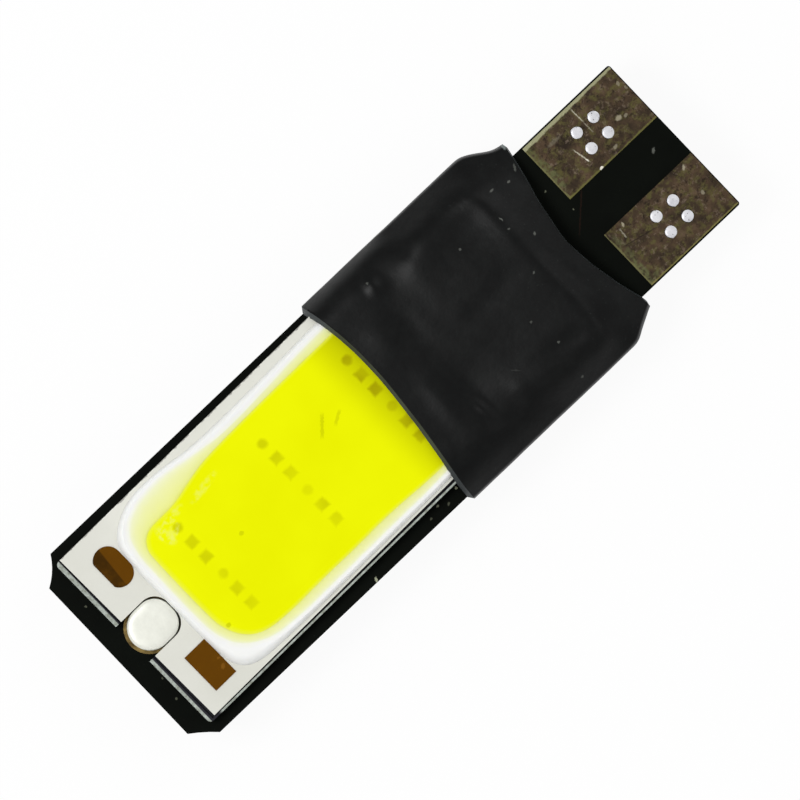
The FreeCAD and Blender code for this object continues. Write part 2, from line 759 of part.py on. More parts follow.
# Stations of the sleeve's inner face: place along X, height over the front and over the back of the
# board's middle plane, half width, and the three corners.
SLEEVE_STATIONS = [
    ("mouth", f"{DAM_END} - sleeve_lap - 1", RIDGE_HEIGHT, RIDGE_HEIGHT, BOARD_HALF,
     (LAP_HIGH, LAP_LOW, LAP_BACK)),
    ("ridge", f"{DAM_END} - ridge_before", RIDGE_HEIGHT, RIDGE_HEIGHT, BOARD_HALF,
     (LAP_HIGH, LAP_LOW, LAP_BACK)),
    ("dip", f"{DAM_END} + dip_after", DIP_HEIGHT, DIP_HEIGHT, BOARD_HALF,
     (DIP_HIGH, LAP_LOW, LAP_BACK)),
    ("rise", f"{DAM_END} + dam_from_far_end + rise_after", DIP_HEIGHT, f"{DIP_HEIGHT} - rise_sag",
     BOARD_HALF, (DIP_HIGH, LAP_LOW, LAP_BACK)),
    ("crest", f"{SHOULDER} - crest_before", CREST_HEIGHT, f"{REST_HEIGHT} + crest_slack",
     BOARD_HALF, (CREST_BOW, CREST_BOW, SLOPE)),
    ("edge", f"{SHOULDER} - edge_before", CREST_HEIGHT, REST_HEIGHT, BOARD_HALF,
     (EDGE_BOW, EDGE_BOW, SLOPE)),
    ("drape", f"{SHOULDER} - drape_before", f"({CREST_HEIGHT} + {FALL_HEIGHT}) / 2", REST_HEIGHT,
     BOARD_HALF, (DRAPE_BOW, DRAPE_BOW, SLOPE)),
    ("fall", f"{SHOULDER} + fall_after", FALL_HEIGHT,
     "(board_thick / 2 + fall_back_stand)", f"({BOARD_HALF} - fall_inset)", (FALLING, FALLING, FALLING)),
    ("neck", f"{SHOULDER} + neck_after", "(board_thick / 2 + neck_stand)",
     "(board_thick / 2 + neck_stand)", f"({TAIL_HALF} + neck_flare)", (NECK, NECK, NECK)),
    ("tail", f"{SHOULDER} + sleeve_tail", TAIL_HEIGHT, TAIL_HEIGHT, TAIL_HALF, (TAIL, TAIL, TAIL)),
]


def sleeve_outline(station, grow):
    """Section of the sleeve with four bowed corners, grown by a wall."""
    _, _, high, low, half, corners = station
    half, high, low = (f"({text} + {grow})" for text in (half, high, low))
    front_high, front_low, back = (
        (f"({lean} + corner_growth * {grow})", f"({start} + (1 - corner_growth) * {grow})",
         f"({bow} + {grow})")
        for lean, start, bow in corners
    )
    return [
        (f"{back[0]} - {half}", f"-{low}"),
        (f"{half} - {back[0]}", f"-{low}", back[2], 1),
        (half, f"-{back[1]}"),
        (half, front_high[1], front_high[2], 1),
        (f"{half} - {front_high[0]}", high),
        (f"{front_low[0]} - {half}", high, front_low[2], 1),
        (f"-{half}", front_low[1]),
        (f"-{half}", f"-{back[1]}", back[2], 1),
    ]


def make_sleeve():
    """Shrunk sleeve: a thin skin lofted over the module's end, the driver parts and the shoulders,
    both mouths trimmed to a bowed line."""
    body = new_body("sleeve_body")
    for skin, grow, kind in (("outer", "sleeve_wall", "Additive"), ("inner", "0", "Subtractive")):
        sections = []
        for station in SLEEVE_STATIONS:
            name, along = station[0], station[1]
            sketch = new_sketch(body, f"sleeve_{skin}_{name}", role="YZ_Plane", height=along)
            draw(sketch, sleeve_outline(station, grow))
            sections.append(sketch)
        doc.recompute()
        loft = body.newObject(f"PartDesign::{kind}Loft", f"sleeve_{skin}")
        loft.Profile = sections[0]
        loft.Sections = sections[1:]
        loft.Ruled = True
        doc.recompute()
    wide = f"({BOARD_HALF} + sleeve_wall + 1)"
    mouth, tail = f"({DAM_END} - sleeve_lap)", f"({SHOULDER} + tail_trim)"
    trims = (
        ("mouth", f"{mouth} + mouth_slant / 2", f"{mouth} - mouth_slant / 2", "mouth_bow",
         f"{mouth} - 2", -1),
        ("tail", f"{tail} + tail_slant / 2", f"{tail} - tail_slant / 2", "tail_bow",
         f"{tail} + 2", 1),
    )
    for name, top, low, bow, beyond, turn in trims:
        sketch = new_sketch(body, f"sleeve_{name}_trim")
        draw(sketch, [(top, wide, bow, turn), (low, f"-{wide}"), (beyond, f"-{wide}"), (beyond, wide)])
        add_pocket(body, sketch)
    bind(body, ".Placement.Base.z", MID_HEIGHT)
    keep(body, "shrink_sleeve")


make_board()
make_contact("positive_contact", 1)
make_contact("negative_contact", -1)
make_via_fill()
for face_name, face in (("front", 1), ("back", -1)):
    make_plate(face_name, face)
    make_lands(face_name, face)
    make_end_joint(face_name, face)
    make_light_field(face_name, face)
    make_strips(face_name, face)
make_package("front_rectifier", "(package_across + package_gap) / 2")
make_package("front_regulator", "-(package_across + package_gap) / 2")
make_resistors()
make_sleeve()
doc.recompute()

for item in doc.Objects:
    if "Invalid" in item.State or "Error" in item.State:
        raise RuntimeError(f"{item.Name} is {item.State}")
for label, item in nodes.items():
    if item.Shape.isNull() or not item.Shape.isValid() or not item.Shape.Solids:
        raise RuntimeError(f"{label} has no sound solid")

os.makedirs("parts", exist_ok=True)
for label, item in nodes.items():
    item.Shape.exportStep(f"parts/{label}.step")
    box = item.Shape.BoundBox
    spans = ((box.XMin, box.XMax), (box.YMin, box.YMax), (box.ZMin, box.ZMax))
    reach = " ".join(f"{low:7.2f}..{high:6.2f}" for low, high in spans)
    print(f"{label:24s} {len(item.Shape.Solids):3d} solids {item.Shape.Volume:9.4f} mm3 {reach}")
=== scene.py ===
import math

import bpy
import numpy as np
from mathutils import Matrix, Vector, geometry, noise


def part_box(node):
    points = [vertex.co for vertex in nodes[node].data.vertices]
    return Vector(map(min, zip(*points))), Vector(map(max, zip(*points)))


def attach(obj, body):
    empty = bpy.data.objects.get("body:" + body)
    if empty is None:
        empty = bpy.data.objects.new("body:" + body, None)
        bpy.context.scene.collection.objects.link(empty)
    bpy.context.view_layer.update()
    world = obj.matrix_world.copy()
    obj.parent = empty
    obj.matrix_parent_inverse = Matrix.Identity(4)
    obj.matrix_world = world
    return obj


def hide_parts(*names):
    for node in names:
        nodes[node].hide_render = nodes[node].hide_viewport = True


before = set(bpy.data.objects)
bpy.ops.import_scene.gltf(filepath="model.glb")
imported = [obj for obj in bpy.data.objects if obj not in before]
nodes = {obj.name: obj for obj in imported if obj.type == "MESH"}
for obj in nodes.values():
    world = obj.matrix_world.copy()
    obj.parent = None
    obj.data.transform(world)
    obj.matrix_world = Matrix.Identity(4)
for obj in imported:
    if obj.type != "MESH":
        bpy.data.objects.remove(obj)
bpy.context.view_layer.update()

# Lengths in this file are millimetres until a mesh or a light is made.
MM = 0.001


def reach(name):
    """Lowest and highest corner of a CAD node, in millimetres."""
    low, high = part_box(name)
    return np.array(low) / MM, np.array(high) / MM


board_low, board_high = reach("carrier_board")
plate_low, plate_high = reach("back_plate")
dam_low, dam_high = reach("back_dam")
front_dam_low, front_dam_high = reach("front_dam")
MIDDLE = (board_low[2] + board_high[2]) / 2
BOARD_HALF_THICK = (board_high[2] - board_low[2]) / 2
# A lit module's own frame has its origin on the board's face under the middle of the dam.
MODULE_X = (dam_low[0] + dam_high[0]) / 2
DAM_LONG = (dam_high[0] - dam_low[0]) / 2
DAM_WIDE = (dam_high[1] - dam_low[1]) / 2
PLATE_TOP = board_low[2] - plate_low[2]
BEAD_TOP = board_low[2] - dam_low[2]
FRONT_SHIFT = (front_dam_low[1] + front_dam_high[1]) / 2
FRONT_SKEW = math.radians(0.8)
SCORE_X = plate_low[0] - MODULE_X + 0.2

# Materials


def linear(colour):
    """An sRGB hex colour as linear RGBA."""
    parts = [int(colour[i:i + 2], 16) / 255 for i in (0, 2, 4)]
    return [p / 12.92 if p <= 0.04045 else ((p + 0.055) / 1.055) ** 2.4 for p in parts] + [1.0]


def add(tree, kind, inputs=None, stops=None, **settings):
    """Adds a shader node with its settings, values, links and colour stops."""
    made = tree.nodes.new("ShaderNode" + kind)
    for name, value in settings.items():
        setattr(made, name, value)
    for name, value in (inputs or {}).items():
        if isinstance(value, bpy.types.Node):
            value = value.outputs[0]
        if isinstance(value, bpy.types.NodeSocket):
            tree.links.new(value, made.inputs[name])
        else:
            made.inputs[name].default_value = value
    if stops:
        band = made.color_ramp.elements
        while len(band) < len(stops):
            band.new(1.0)
        for element, (level, colour) in zip(band, stops):
            element.position = level
            element.color = linear(colour) if isinstance(colour, str) else (colour, colour, colour, 1)
    return made


def new_material(name, **values):
    """A material whose principled shader has these plain values."""
    material = bpy.data.materials.new(name)
    material.use_nodes = True
    tree = material.node_tree
    shader = tree.nodes["Principled BSDF"]
    for key, value in values.items():
        shader.inputs[key.replace("_", " ")].default_value = value
    return material, tree, shader


def object_mm(tree):
    """Position in the lamp's own frame, in millimetres."""
    place = add(tree, "TexCoord")
    scaled = add(tree, "VectorMath", {0: place.outputs["Object"], 3: 1 / MM}, operation="SCALE")
    return scaled.outputs[0]


def module_mm(tree, side):
    """Position in a lit module's frame: X along it, Y across, Z up from the board's face."""
    turn = (0, 0, FRONT_SKEW) if side > 0 else (math.pi, 0, 0)
    shift = FRONT_SHIFT if side > 0 else 0.0
    origin = (MODULE_X, shift, MIDDLE + side * BOARD_HALF_THICK)
    moved = add(tree, "Mapping", {0: object_mm(tree), 1: origin, 2: turn}, vector_type="TEXTURE")
    return moved.outputs[0]


def clouded(tree, place, patch, tones, detail=4.0, rough=0.6):
    """Tones clouded into one another in patches about this many millimetres wide. A tone is a level
    of the cloud with its hex colour, or with a number for a mask."""
    cloud = add(tree, "TexNoise",
                {"Vector": place, "Scale": 1 / patch, "Detail": detail, "Roughness": rough})
    return add(tree, "ValToRGB", {0: cloud}, stops=tones).outputs[0]


def layered(tree, colour, layers):
    """Colours laid one over another; a layer is a mask and a hex colour."""
    for mask, over in layers:
        mixed = add(tree, "Mix", {0: mask, 6: colour, 7: linear(over)}, data_type="RGBA")
        colour = mixed.outputs[2]
    return colour


def marked(tree, place, marks, blunt=False):
    """Mask of soft ellipses, or of blunt bars, with a ragged rim. A mark is its centre, turn in
    degrees, half size and strength."""
    # the rim wanders by about 0.02 mm each way, in nicks about 0.1 mm wide
    wander, nick = 0.12, 0.11
    shake = add(tree, "TexNoise", {"Vector": place, "Scale": 1 / nick, "Detail": 2.0})
    place = add(tree, "VectorMath", {0: shake.outputs[1], 1: (wander, wander, 0), 2: place},
                operation="MULTIPLY_ADD")
    total = 0.0
    for (x, y), turn, half_size, strength in marks:
        own = add(tree, "Mapping", {0: place, 1: (x + wander / 2, y + wander / 2, 0),
                                    2: (0, 0, math.radians(turn)), 3: (*half_size, 1e4)},
                  vector_type="TEXTURE")
        far = add(tree, "VectorMath", {0: own}, operation="LENGTH").outputs[1]
        if blunt:
            size = add(tree, "VectorMath", {0: own}, operation="ABSOLUTE")
            sides = add(tree, "SeparateXYZ", {0: size})
            far = add(tree, "Math", {0: sides.outputs[0], 1: sides.outputs[1]}, operation="MAXIMUM")
        mask = add(tree, "MapRange", {0: far, 1: 1.35, 2: 0.65, 4: strength},
                   interpolation_type="SMOOTHSTEP")
        total = add(tree, "Math", {0: mask, 1: total}, operation="MAXIMUM")
    return total.outputs[0]


def dress(tree, shader, colour, relief, depth):
    """Gives a shader its colour, and relief from a pattern; depth is in millimetres."""
    tree.links.new(colour, shader.inputs["Base Color"])
    bump = add(tree, "Bump", {"Height": relief, "Distance": depth * MM})
    tree.links.new(bump.outputs[0], shader.inputs["Normal"])


def solder_mask():
    """Black epoxy solder mask, curtain coated and baked: satin, with fine orange peel, faint dust and
    pale chips where the saw cut the board's edge."""
    material, tree, shader = new_material("black_solder_mask", Roughness=0.55, Specular_IOR_Level=0.03)
    place = object_mm(tree)
    base = clouded(tree, place, 2.5, [(0.3, "080A07"), (0.7, "0C0F0B")])
    dust = clouded(tree, place, 0.16, [(0.70, 0.0), (0.80, 0.3)], 2.0)
    chips = marked(tree, place, [
        ((-6.95, -5.97), 60, (0.14, 0.07), 0.8), ((-0.94, -5.39), 80, (0.07, 0.06), 0.8),
        ((-2.23, -5.42), 10, (0.09, 0.05), 0.4), ((-2.9, -5.66), 20, (0.08, 0.05), 0.15),
        ((-1.75, -5.72), 35, (0.1, 0.05), 0.15), ((-18.3, 3.0), 0, (0.06, 0.06), 0.2),
        ((-18.2, -3.4), 0, (0.07, 0.07), 0.18), ((-18.0, -2.2), 0, (0.05, 0.05), 0.15),
        ((12.4, 2.2), 30, (0.05, 0.05), 0.25), ((12.8, 0.6), 0, (0.04, 0.04), 0.25),
    ])
    # the chips stay on the face and don't run down the board's side
    height = add(tree, "SeparateXYZ", {0: place}).outputs[2]
    on_face = add(tree, "MapRange", {0: height, 1: board_high[2] - 0.12, 2: board_high[2] - 0.04},
                  interpolation_type="SMOOTHSTEP")
    chips = add(tree, "Math", {0: chips, 1: on_face}, operation="MULTIPLY")
    grit = marked(tree, place, [((17.69, -0.01), 38, (0.15, 0.07), 0.9)])
    scratch = marked(tree, place, [((13.0, 0.3), 44, (1.1, 0.035), 0.5)], blunt=True)
    colour = layered(tree, base, [
        (dust, "2A2F2B"), (chips, "B9BDA0"), (grit, "5E605A"), (scratch, "2A1A14"),
    ])
    dress(tree, shader, colour, clouded(tree, place, 0.35, [(0.0, 0.0), (1.0, 1.0)], 3.0), 0.006)
    return material


def contact_plating():
    """Thin plating over copper, rubbed and tarnished by handling: brown mottle with olive and
    grey-pink flecks, a few bright scratches, and painted highlights: rims painted cream, brass and olive
    where the edges catch the light, and two glints."""
    material, tree, shader = new_material("tarnished_contact_plating", Metallic=0.75, Roughness=0.5)
    place = object_mm(tree)
    base = clouded(tree, place, 0.9, [
        (0.32, "2B2117"), (0.45, "3E3123"), (0.58, "503F2E"), (0.72, "64523F"),
    ], 5.0)
    olive = clouded(tree, place, 0.42, [(0.48, 0.0), (0.64, 0.75)], 4.0, 0.65)
    moved = add(tree, "VectorMath", {0: place, 1: (7.3, 3.1, 0.0)}, operation="ADD")
    pink = clouded(tree, moved, 0.3, [(0.56, 0.0), (0.7, 0.75)], 4.0, 0.7)
    turned = add(tree, "VectorMath", {0: place, 1: (-4.7, 9.2, 0.0)}, operation="ADD")
    dark = clouded(tree, turned, 0.26, [(0.54, 0.0), (0.68, 0.8)], 3.0, 0.7)
    parts = add(tree, "SeparateXYZ", {0: place})
    x, y = parts.outputs[0], parts.outputs[1]
    # painted highlight: every rim of the plating is painted lighter in a ragged line, where its edge
    # catches the light
    ragged = clouded(tree, place, 0.45, [(0.3, 0.0), (0.7, 0.1)], 5.0)
    high = add(tree, "Math", {0: x, 1: -0.015, 2: y}, operation="MULTIPLY_ADD")
    high = add(tree, "Math", {0: high, 1: ragged}, operation="ADD")
    down = add(tree, "Math", {0: ragged, 1: y}, operation="SUBTRACT")
    left = add(tree, "Math", {0: ragged, 1: x}, operation="SUBTRACT")
    across = add(tree, "Math", {0: y}, operation="ABSOLUTE")
    gap = add(tree, "Math", {0: ragged, 1: across}, operation="SUBTRACT")
    rim_highlights = []
    for edge, start, stop, strength in (
        (high, 4.11, 4.19, 0.95), (down, 4.76, 4.83, 0.8), (left, -13.08, -13.01, 0.75),
        (gap, -1.13, -1.06, 0.75),
    ):
        rim_highlights.append(add(tree, "MapRange", {0: edge, 1: start, 2: stop, 4: strength},
                        interpolation_type="SMOOTHSTEP"))
    cream, brass, green, inner = rim_highlights
    patina = marked(tree, place, [
        ((13.22, 2.6), 90, (1.0, 0.24), 0.75), ((13.2, 3.9), 90, (0.5, 0.16), 0.5),
        ((13.2, -3.9), 90, (0.9, 0.2), 0.75), ((13.3, -2.6), 90, (0.9, 0.2), 0.4),
        ((13.6, -4.55), 0, (0.4, 0.12), 0.4),
    ])
    patchy = clouded(tree, place, 0.22, [(0.4, 0.1), (0.56, 1.0)], 3.0)
    patina = add(tree, "Math", {0: patina, 1: patchy}, operation="MULTIPLY")
    worn = marked(tree, place, [
        ((17.55, 2.35), 0, (0.16, 0.13), 0.8), ((17.9, 2.2), 20, (0.12, 0.08), 0.5),
        ((16.45, 1.42), 20, (0.14, 0.08), 0.55), ((18.7, 3.6), 60, (0.12, 0.08), 0.5),
        ((18.02, -3.2), 0, (0.09, 0.12), 0.6), ((18.85, 3.2), 90, (0.1, 0.06), 0.4),
        ((14.4, 3.7), 0, (0.4, 0.1), 0.25), ((14.05, -1.64), 70, (0.13, 0.06), 0.9),
        ((18.18, -1.66), 50, (0.15, 0.07), 0.95),
    ])
    lines = marked(tree, place, [
        ((16.13, 3.85), 92, (0.38, 0.03), 0.75), ((16.14, 3.05), 92, (0.3, 0.024), 0.4),
        ((14.92, 2.25), 102, (0.46, 0.03), 0.85), ((13.76, -1.95), 87, (0.25, 0.03), 0.45),
    ], blunt=True)
    glint = marked(tree, place, [
        ((15.23, 1.12), 0, (0.1, 0.07), 1.0), ((14.98, 1.9), 100, (0.1, 0.04), 0.9),
    ])
    gouge = marked(tree, place, [
        ((14.2, -2.66), -13, (0.9, 0.03), 0.75), ((13.75, 2.75), 165, (0.45, 0.03), 0.5),
        ((14.3, 2.2), 35, (0.4, 0.03), 0.4),
    ], blunt=True)
    colour = layered(tree, base, [
        (olive, "5E5930"), (pink, "7C6C5C"), (dark, "21170F"), (patina, "676B44"), (gouge, "241A12"),
        (green, "77754A"), (inner, "6E6C38"), (brass, "857F48"), (cream, "A3A27F"), (worn, "A39B84"),
        (lines, "BDB8A4"), (glint, "F0EDDF"),
    ])
    dress(tree, shader, colour, dark, 0.006)
    return material


def reflowed_solder(name, low_hex, high_hex, pits):
    """Tin-rich solder, reflowed and left to frost: bright satin white-grey; pits are dark specks of
    flux in it."""
    material, tree, shader = new_material(name, Metallic=0.15, Roughness=0.35)
    place = object_mm(tree)
    base = clouded(tree, place, 0.5, [(0.3, low_hex), (0.7, high_hex)], 3.0)
    holes = clouded(tree, place, 0.13, [(0.30, pits), (0.37, 0.0)], 2.0, 0.7)
    colour = layered(tree, base, [(holes, "3A3634")])
    dress(tree, shader, colour, clouded(tree, place, 0.6, [(0.0, 0.0), (1.0, 1.0)], 2.0), 0.012)
    return material


def plate_enamel(side):
    """White reflective mask baked on an aluminium plate: smooth and slightly grey, raw sawn metal on
    the ledge and the cut edges, and painted shade in the score line and low in the cut."""
    face = "front" if side > 0 else "back"
    material, tree, shader = new_material(f"{face}_white_mask_on_aluminium", Roughness=0.45,
                                          Specular_IOR_Level=0.25)
    place = module_mm(tree, side)
    white = clouded(tree, place, 3.0, [(0.3, "DCDCD2"), (0.7, "E3E3DA")])
    smut = clouded(tree, place, 0.2, [(0.68, 0.0), (0.8, 0.3)], 3.0, 0.7)
    metal = clouded(tree, place, 0.25, [(0.3, "7C8070"), (0.5, "A3AAA2"), (0.7, "BCC4BC")], 3.0, 0.7)
    x, y, z = add(tree, "SeparateXYZ", {0: place}).outputs
    # the mask has nibbled edges and the metal below it is bare; the score line and the deepest part of
    # the cut are painted dark as shade
    nibble = clouded(tree, place, 0.35, [(0.35, 0.0), (0.75, 0.14)], 3.0)
    top_edge = add(tree, "Math", {0: nibble, 1: y}, operation="ADD")
    tapered = add(tree, "Math", {0: y, 1: -0.008, 2: x}, operation="MULTIPLY_ADD")
    bands = []
    for value, start, stop, strength in (
        (top_edge, 5.50, 5.56, 0.7), (z, PLATE_TOP - 0.02, PLATE_TOP - 0.05, 1.0),
        (z, PLATE_TOP - 0.14, PLATE_TOP - 0.2, 1.0), (tapered, SCORE_X - 0.03, SCORE_X, 1.0),
        (x, -10.6, -10.9, 1.0),
    ):
        bands.append(add(tree, "MapRange", {0: value, 1: start, 2: stop, 4: strength},
                         interpolation_type="SMOOTHSTEP"))
    nibbled, raw, deep_shade, past_score, at_end = bands
    score_shade = add(tree, "Math", {0: past_score, 1: at_end}, operation="MULTIPLY")
    bare = layered(tree, metal, [(score_shade, "15131F"), (deep_shade, "12101C")])
    masked = layered(tree, white, [(smut, "A79E96"), (nibbled, "6D6A66")])
    mixed = add(tree, "Mix", {0: raw, 6: masked, 7: bare}, data_type="RGBA")
    dress(tree, shader, mixed.outputs[2], smut, 0.004)
    return material


def bare_copper(side):
    """Bare copper lands left in the air and stained by flux: dark brown, and paler towards the dam."""
    face = "front" if side > 0 else "back"
    material, tree, shader = new_material(f"{face}_flux_stained_copper", Metallic=0.1, Roughness=0.6,
                                          Specular_IOR_Level=0.05)
    place = module_mm(tree, side)
    x, y, _ = add(tree, "SeparateXYZ", {0: place}).outputs
    base = clouded(tree, place, 0.6, [(0.3, "3A2300"), (0.55, "452A00"), (0.75, "573600")], 3.0)
    bent = add(tree, "Math", {0: y, 1: -0.1, 2: x}, operation="MULTIPLY_ADD")
    paler = add(tree, "MapRange", {0: bent, 1: -9.98, 2: -9.9, 4: 0.8}, interpolation_type="SMOOTHSTEP")
    glints = marked(tree, place, [
        ((-9.1, -3.9), 40, (0.16, 0.1), 0.5), ((-8.98, -3.45), 0, (0.07, 0.07), 0.5),
    ])
    colour = layered(tree, base, [(paler, "684000"), (glints, "8E5E1A")])
    dress(tree, shader, colour, clouded(tree, place, 0.4, [(0.0, 0.0), (1.0, 1.0)], 3.0), 0.006)
    return material


def dam_silicone(side):
    """White silicone dam, dispensed and cured: smooth, soft to light, with the phosphor resin that
    crept up its inner slope tinting it pale yellow."""
    face = "front" if side > 0 else "back"
    material, tree, shader = new_material(
        f"{face}_white_silicone_dam", Roughness=0.4, Specular_IOR_Level=0.3, Subsurface_Weight=0.4,
        Subsurface_Scale=0.4 * MM, Subsurface_Radius=(1.0, 0.95, 0.9))
    place = module_mm(tree, side)
    wash = add(tree, "Attribute", attribute_name="wash")
    ragged = clouded(tree, place, 1.2, [(0.0, 0.0), (1.0, 1.0)], 3.0)
    shaken = add(tree, "Math", {0: ragged, 1: 0.16, 2: wash.outputs[2]}, operation="MULTIPLY_ADD")
    moved = add(tree, "Math", {0: shaken, 1: 0.08}, operation="SUBTRACT")
    tint = add(tree, "ValToRGB", {0: moved}, stops=[
        (0.02, "FEFFFB"), (0.12, "FBFDEC"), (0.3, "F6FACC"), (0.5, "F5F9B6"), (0.7, "F4F8A8"),
        (0.88, "F4F898"), (0.96, "F2F674")])
    dress(tree, shader, tint.outputs[0], clouded(tree, place, 0.9, [(0.0, 0.0), (1.0, 1.0)], 2.0), 0.012)
    return material


def phosphor(side):
    """Yellow phosphor powder cured in clear silicone: dense, even and nearly matt. The light dice
    show through it as faint darker squares and dots in three rows."""
    face = "front" if side > 0 else "back"
    material, tree, shader = new_material(f"{face}_phosphor_silicone", Roughness=0.5,
                                          Specular_IOR_Level=0.015)
    place = module_mm(tree, side)
    base = clouded(tree, place, 4.0, [(0.35, "F0F500"), (0.65, "F4FA03")], 2.0)
    # the dice were set a little askew of the plate, in three columns of six
    skew = math.radians(0.3)
    lattice = add(tree, "Mapping", {0: place, 2: (0, 0, skew)}, vector_type="TEXTURE")
    x, y, _ = add(tree, "SeparateXYZ", {0: lattice}).outputs
    pitch, group = 5.89, 1.6
    column = add(tree, "Math", {0: x, 1: -pitch / 2, 2: pitch / 2}, operation="WRAP")
    sign = add(tree, "Math", {0: y}, operation="SIGN")
    row = add(tree, "Math", {0: sign, 1: -group, 2: y}, operation="MULTIPLY_ADD")
    in_row = add(tree, "Math", {0: row, 1: -0.5, 2: 0.5}, operation="WRAP")
    shaken = clouded(tree, place, 0.3, [(0.3, 0.0), (0.7, 0.05)], 2.0)
    flat = add(tree, "CombineXYZ", {0: column, 1: in_row})
    sides = add(tree, "SeparateXYZ", {0: add(tree, "VectorMath", {0: flat}, operation="ABSOLUTE")})
    wide = add(tree, "Math", {0: sides.outputs[0], 1: sides.outputs[1]}, operation="MAXIMUM")
    wide = add(tree, "Math", {0: wide, 1: shaken}, operation="ADD")
    far = add(tree, "VectorMath", {0: flat}, operation="LENGTH")
    far = add(tree, "Math", {0: far.outputs[1], 1: shaken}, operation="ADD")
    # the first row of each group of three has round dice, the other two square ones
    first = add(tree, "MapRange", {0: row, 1: 0.45, 2: 0.5}, interpolation_type="SMOOTHSTEP")
    others = add(tree, "Math", {0: 1.0, 1: first}, operation="SUBTRACT")
    dice = 0.0
    for size, outside, inside, rows in ((wide, 0.40, 0.2, others), (far, 0.39, 0.17, first)):
        spot = add(tree, "MapRange", {0: size, 1: outside, 2: inside}, interpolation_type="SMOOTHSTEP")
        spot = add(tree, "Math", {0: spot, 1: rows}, operation="MULTIPLY")
        dice = add(tree, "Math", {0: spot, 1: dice}, operation="MAXIMUM")
    # and there are none past the outer columns and rows
    for value, limit in ((x, 1.5 * pitch - 0.6), (row, 1.5)):
        away = add(tree, "Math", {0: value}, operation="ABSOLUTE")
        within = add(tree, "MapRange", {0: away, 1: limit + 0.05, 2: limit},
                     interpolation_type="SMOOTHSTEP")
        dice = add(tree, "Math", {0: dice, 1: within}, operation="MULTIPLY")
    uneven = clouded(tree, place, 1.6, [(0.35, 0.35), (0.65, 0.8)], 1.0)
    dice = add(tree, "Math", {0: dice, 1: uneven}, operation="MULTIPLY")
    wash = add(tree, "Attribute", attribute_name="wash")
    # painted shade: the resin and the dice are painted darker where they run in under the film, as the
    # sleeve's shade
    shade_from = 4.0
    sleeve_shade = add(tree, "MapRange", {0: x, 1: shade_from, 2: 6.3, 4: 0.62}, interpolation_type="SMOOTHSTEP")
    shaded_dice = add(tree, "MapRange", {0: x, 1: shade_from, 2: 4.6}, interpolation_type="SMOOTHSTEP")
    shaded_dice = add(tree, "Math", {0: dice, 1: shaded_dice}, operation="MULTIPLY")
    layers = [(sleeve_shade, "B8B902"), (dice, "CDCE02"), (shaded_dice, "A59C02"), (wash.outputs[2], "F0F44E")]
    if side > 0:
        scratches = marked(tree, place, [
            ((2.72, 1.17), 46, (0.56, 0.085), 0.6), ((3.55, 0.93), 31, (0.36, 0.08), 0.5),
        ], blunt=True)
        pits = marked(tree, place, [
            ((-3.85, 0.17), 0, (0.12, 0.12), 0.6), ((-7.48, -2.64), 0, (0.13, 0.11), 0.7),
        ])
        pale = marked(tree, place, [
            ((-6.6, 2.7), 100, (0.55, 0.3), 0.5), ((-5.9, 3.1), 10, (0.8, 0.22), 0.4),
            ((-3.6, 3.1), 8, (0.9, 0.2), 0.3), ((-6.1, 2.6), 30, (0.4, 0.2), 0.4),
        ])
        patchy = clouded(tree, place, 0.35, [(0.42, 0.0), (0.62, 1.0)], 3.0)
        pale = add(tree, "Math", {0: pale, 1: patchy}, operation="MULTIPLY")
        layers += [(scratches, "C9CC04"), (pits, "C9CC04"), (pale, "F2F68C")]
    colour = layered(tree, base, layers)
    dress(tree, shader, colour, clouded(tree, place, 1.5, [(0.0, 0.0), (1.0, 1.0)], 2.0), 0.01)
    return material


def shrink_film(name, dark, light):
    """Black polyolefin heat-shrink film: extruded, satin, with a faint waxy bloom, fine scuffs and
    grains of dust; the cut ends take a paler copy, painted as the light that the cut face catches."""
    material, tree, shader = new_material(name, Specular_IOR_Level=0.17)
    place = object_mm(tree)
    base = clouded(tree, place, 2.2, [(0.3, dark), (0.7, light)])
    dust = clouded(tree, place, 0.14, [(0.66, 0.0), (0.78, 0.5)], 2.0)
    # more dust has stuck towards the tongue
    x = add(tree, "SeparateXYZ", {0: place}).outputs[0]
    towards = add(tree, "MapRange", {0: x, 1: 5.5, 2: 10.5}, interpolation_type="SMOOTHSTEP")
    dusty = add(tree, "Math", {0: dust, 1: towards}, operation="MULTIPLY")
    bloom = clouded(tree, place, 0.9, [(0.45, 0.0), (0.75, 0.35)], 5.0, 0.7)
    grains = marked(tree, place, [
        ((7.33, 3.03), 0, (0.06, 0.06), 0.35), ((9.84, 2.71), 100, (0.12, 0.04), 0.5),
        ((9.78, 2.1), 20, (0.06, 0.05), 0.35), ((9.19, -0.32), 20, (0.07, 0.05), 0.35),
        ((10.48, 4.07), 0, (0.12, 0.06), 0.4), ((11.4, 3.8), 0, (0.07, 0.06), 0.45),
        ((7.7, -3.65), 0, (0.06, 0.06), 0.35), ((10.55, 1.07), 50, (0.1, 0.06), 0.45),
        ((7.4, -5.7), 0, (0.07, 0.06), 0.3), ((7.4, -2.0), 30, (0.06, 0.05), 0.25),
        ((12.1, 4.1), 60, (0.2, 0.05), 0.3), ((2.85, 4.98), 0, (0.06, 0.06), 0.3),
        ((5.2, -3.2), -45, (0.25, 0.03), 0.08),
    ])
    # painted highlight on the film's tip at its tail end
    tip_highlight = marked(tree, place, [((12.45, 5.3), 75, (0.22, 0.1), 0.75)])
    colour = layered(tree, base, [
        (bloom, "1A1C1B"), (dusty, "353936"), (grains, "7E817A"), (tip_highlight, "87918F"),
    ])
    scuffed = clouded(tree, place, 1.4, [(0.35, 0.34), (0.7, 0.44)], 3.0)
    tree.links.new(scuffed, shader.inputs["Roughness"])
    dress(tree, shader, colour, clouded(tree, place, 0.3, [(0.0, 0.0), (1.0, 1.0)], 4.0, 0.65), 0.01)
    return material


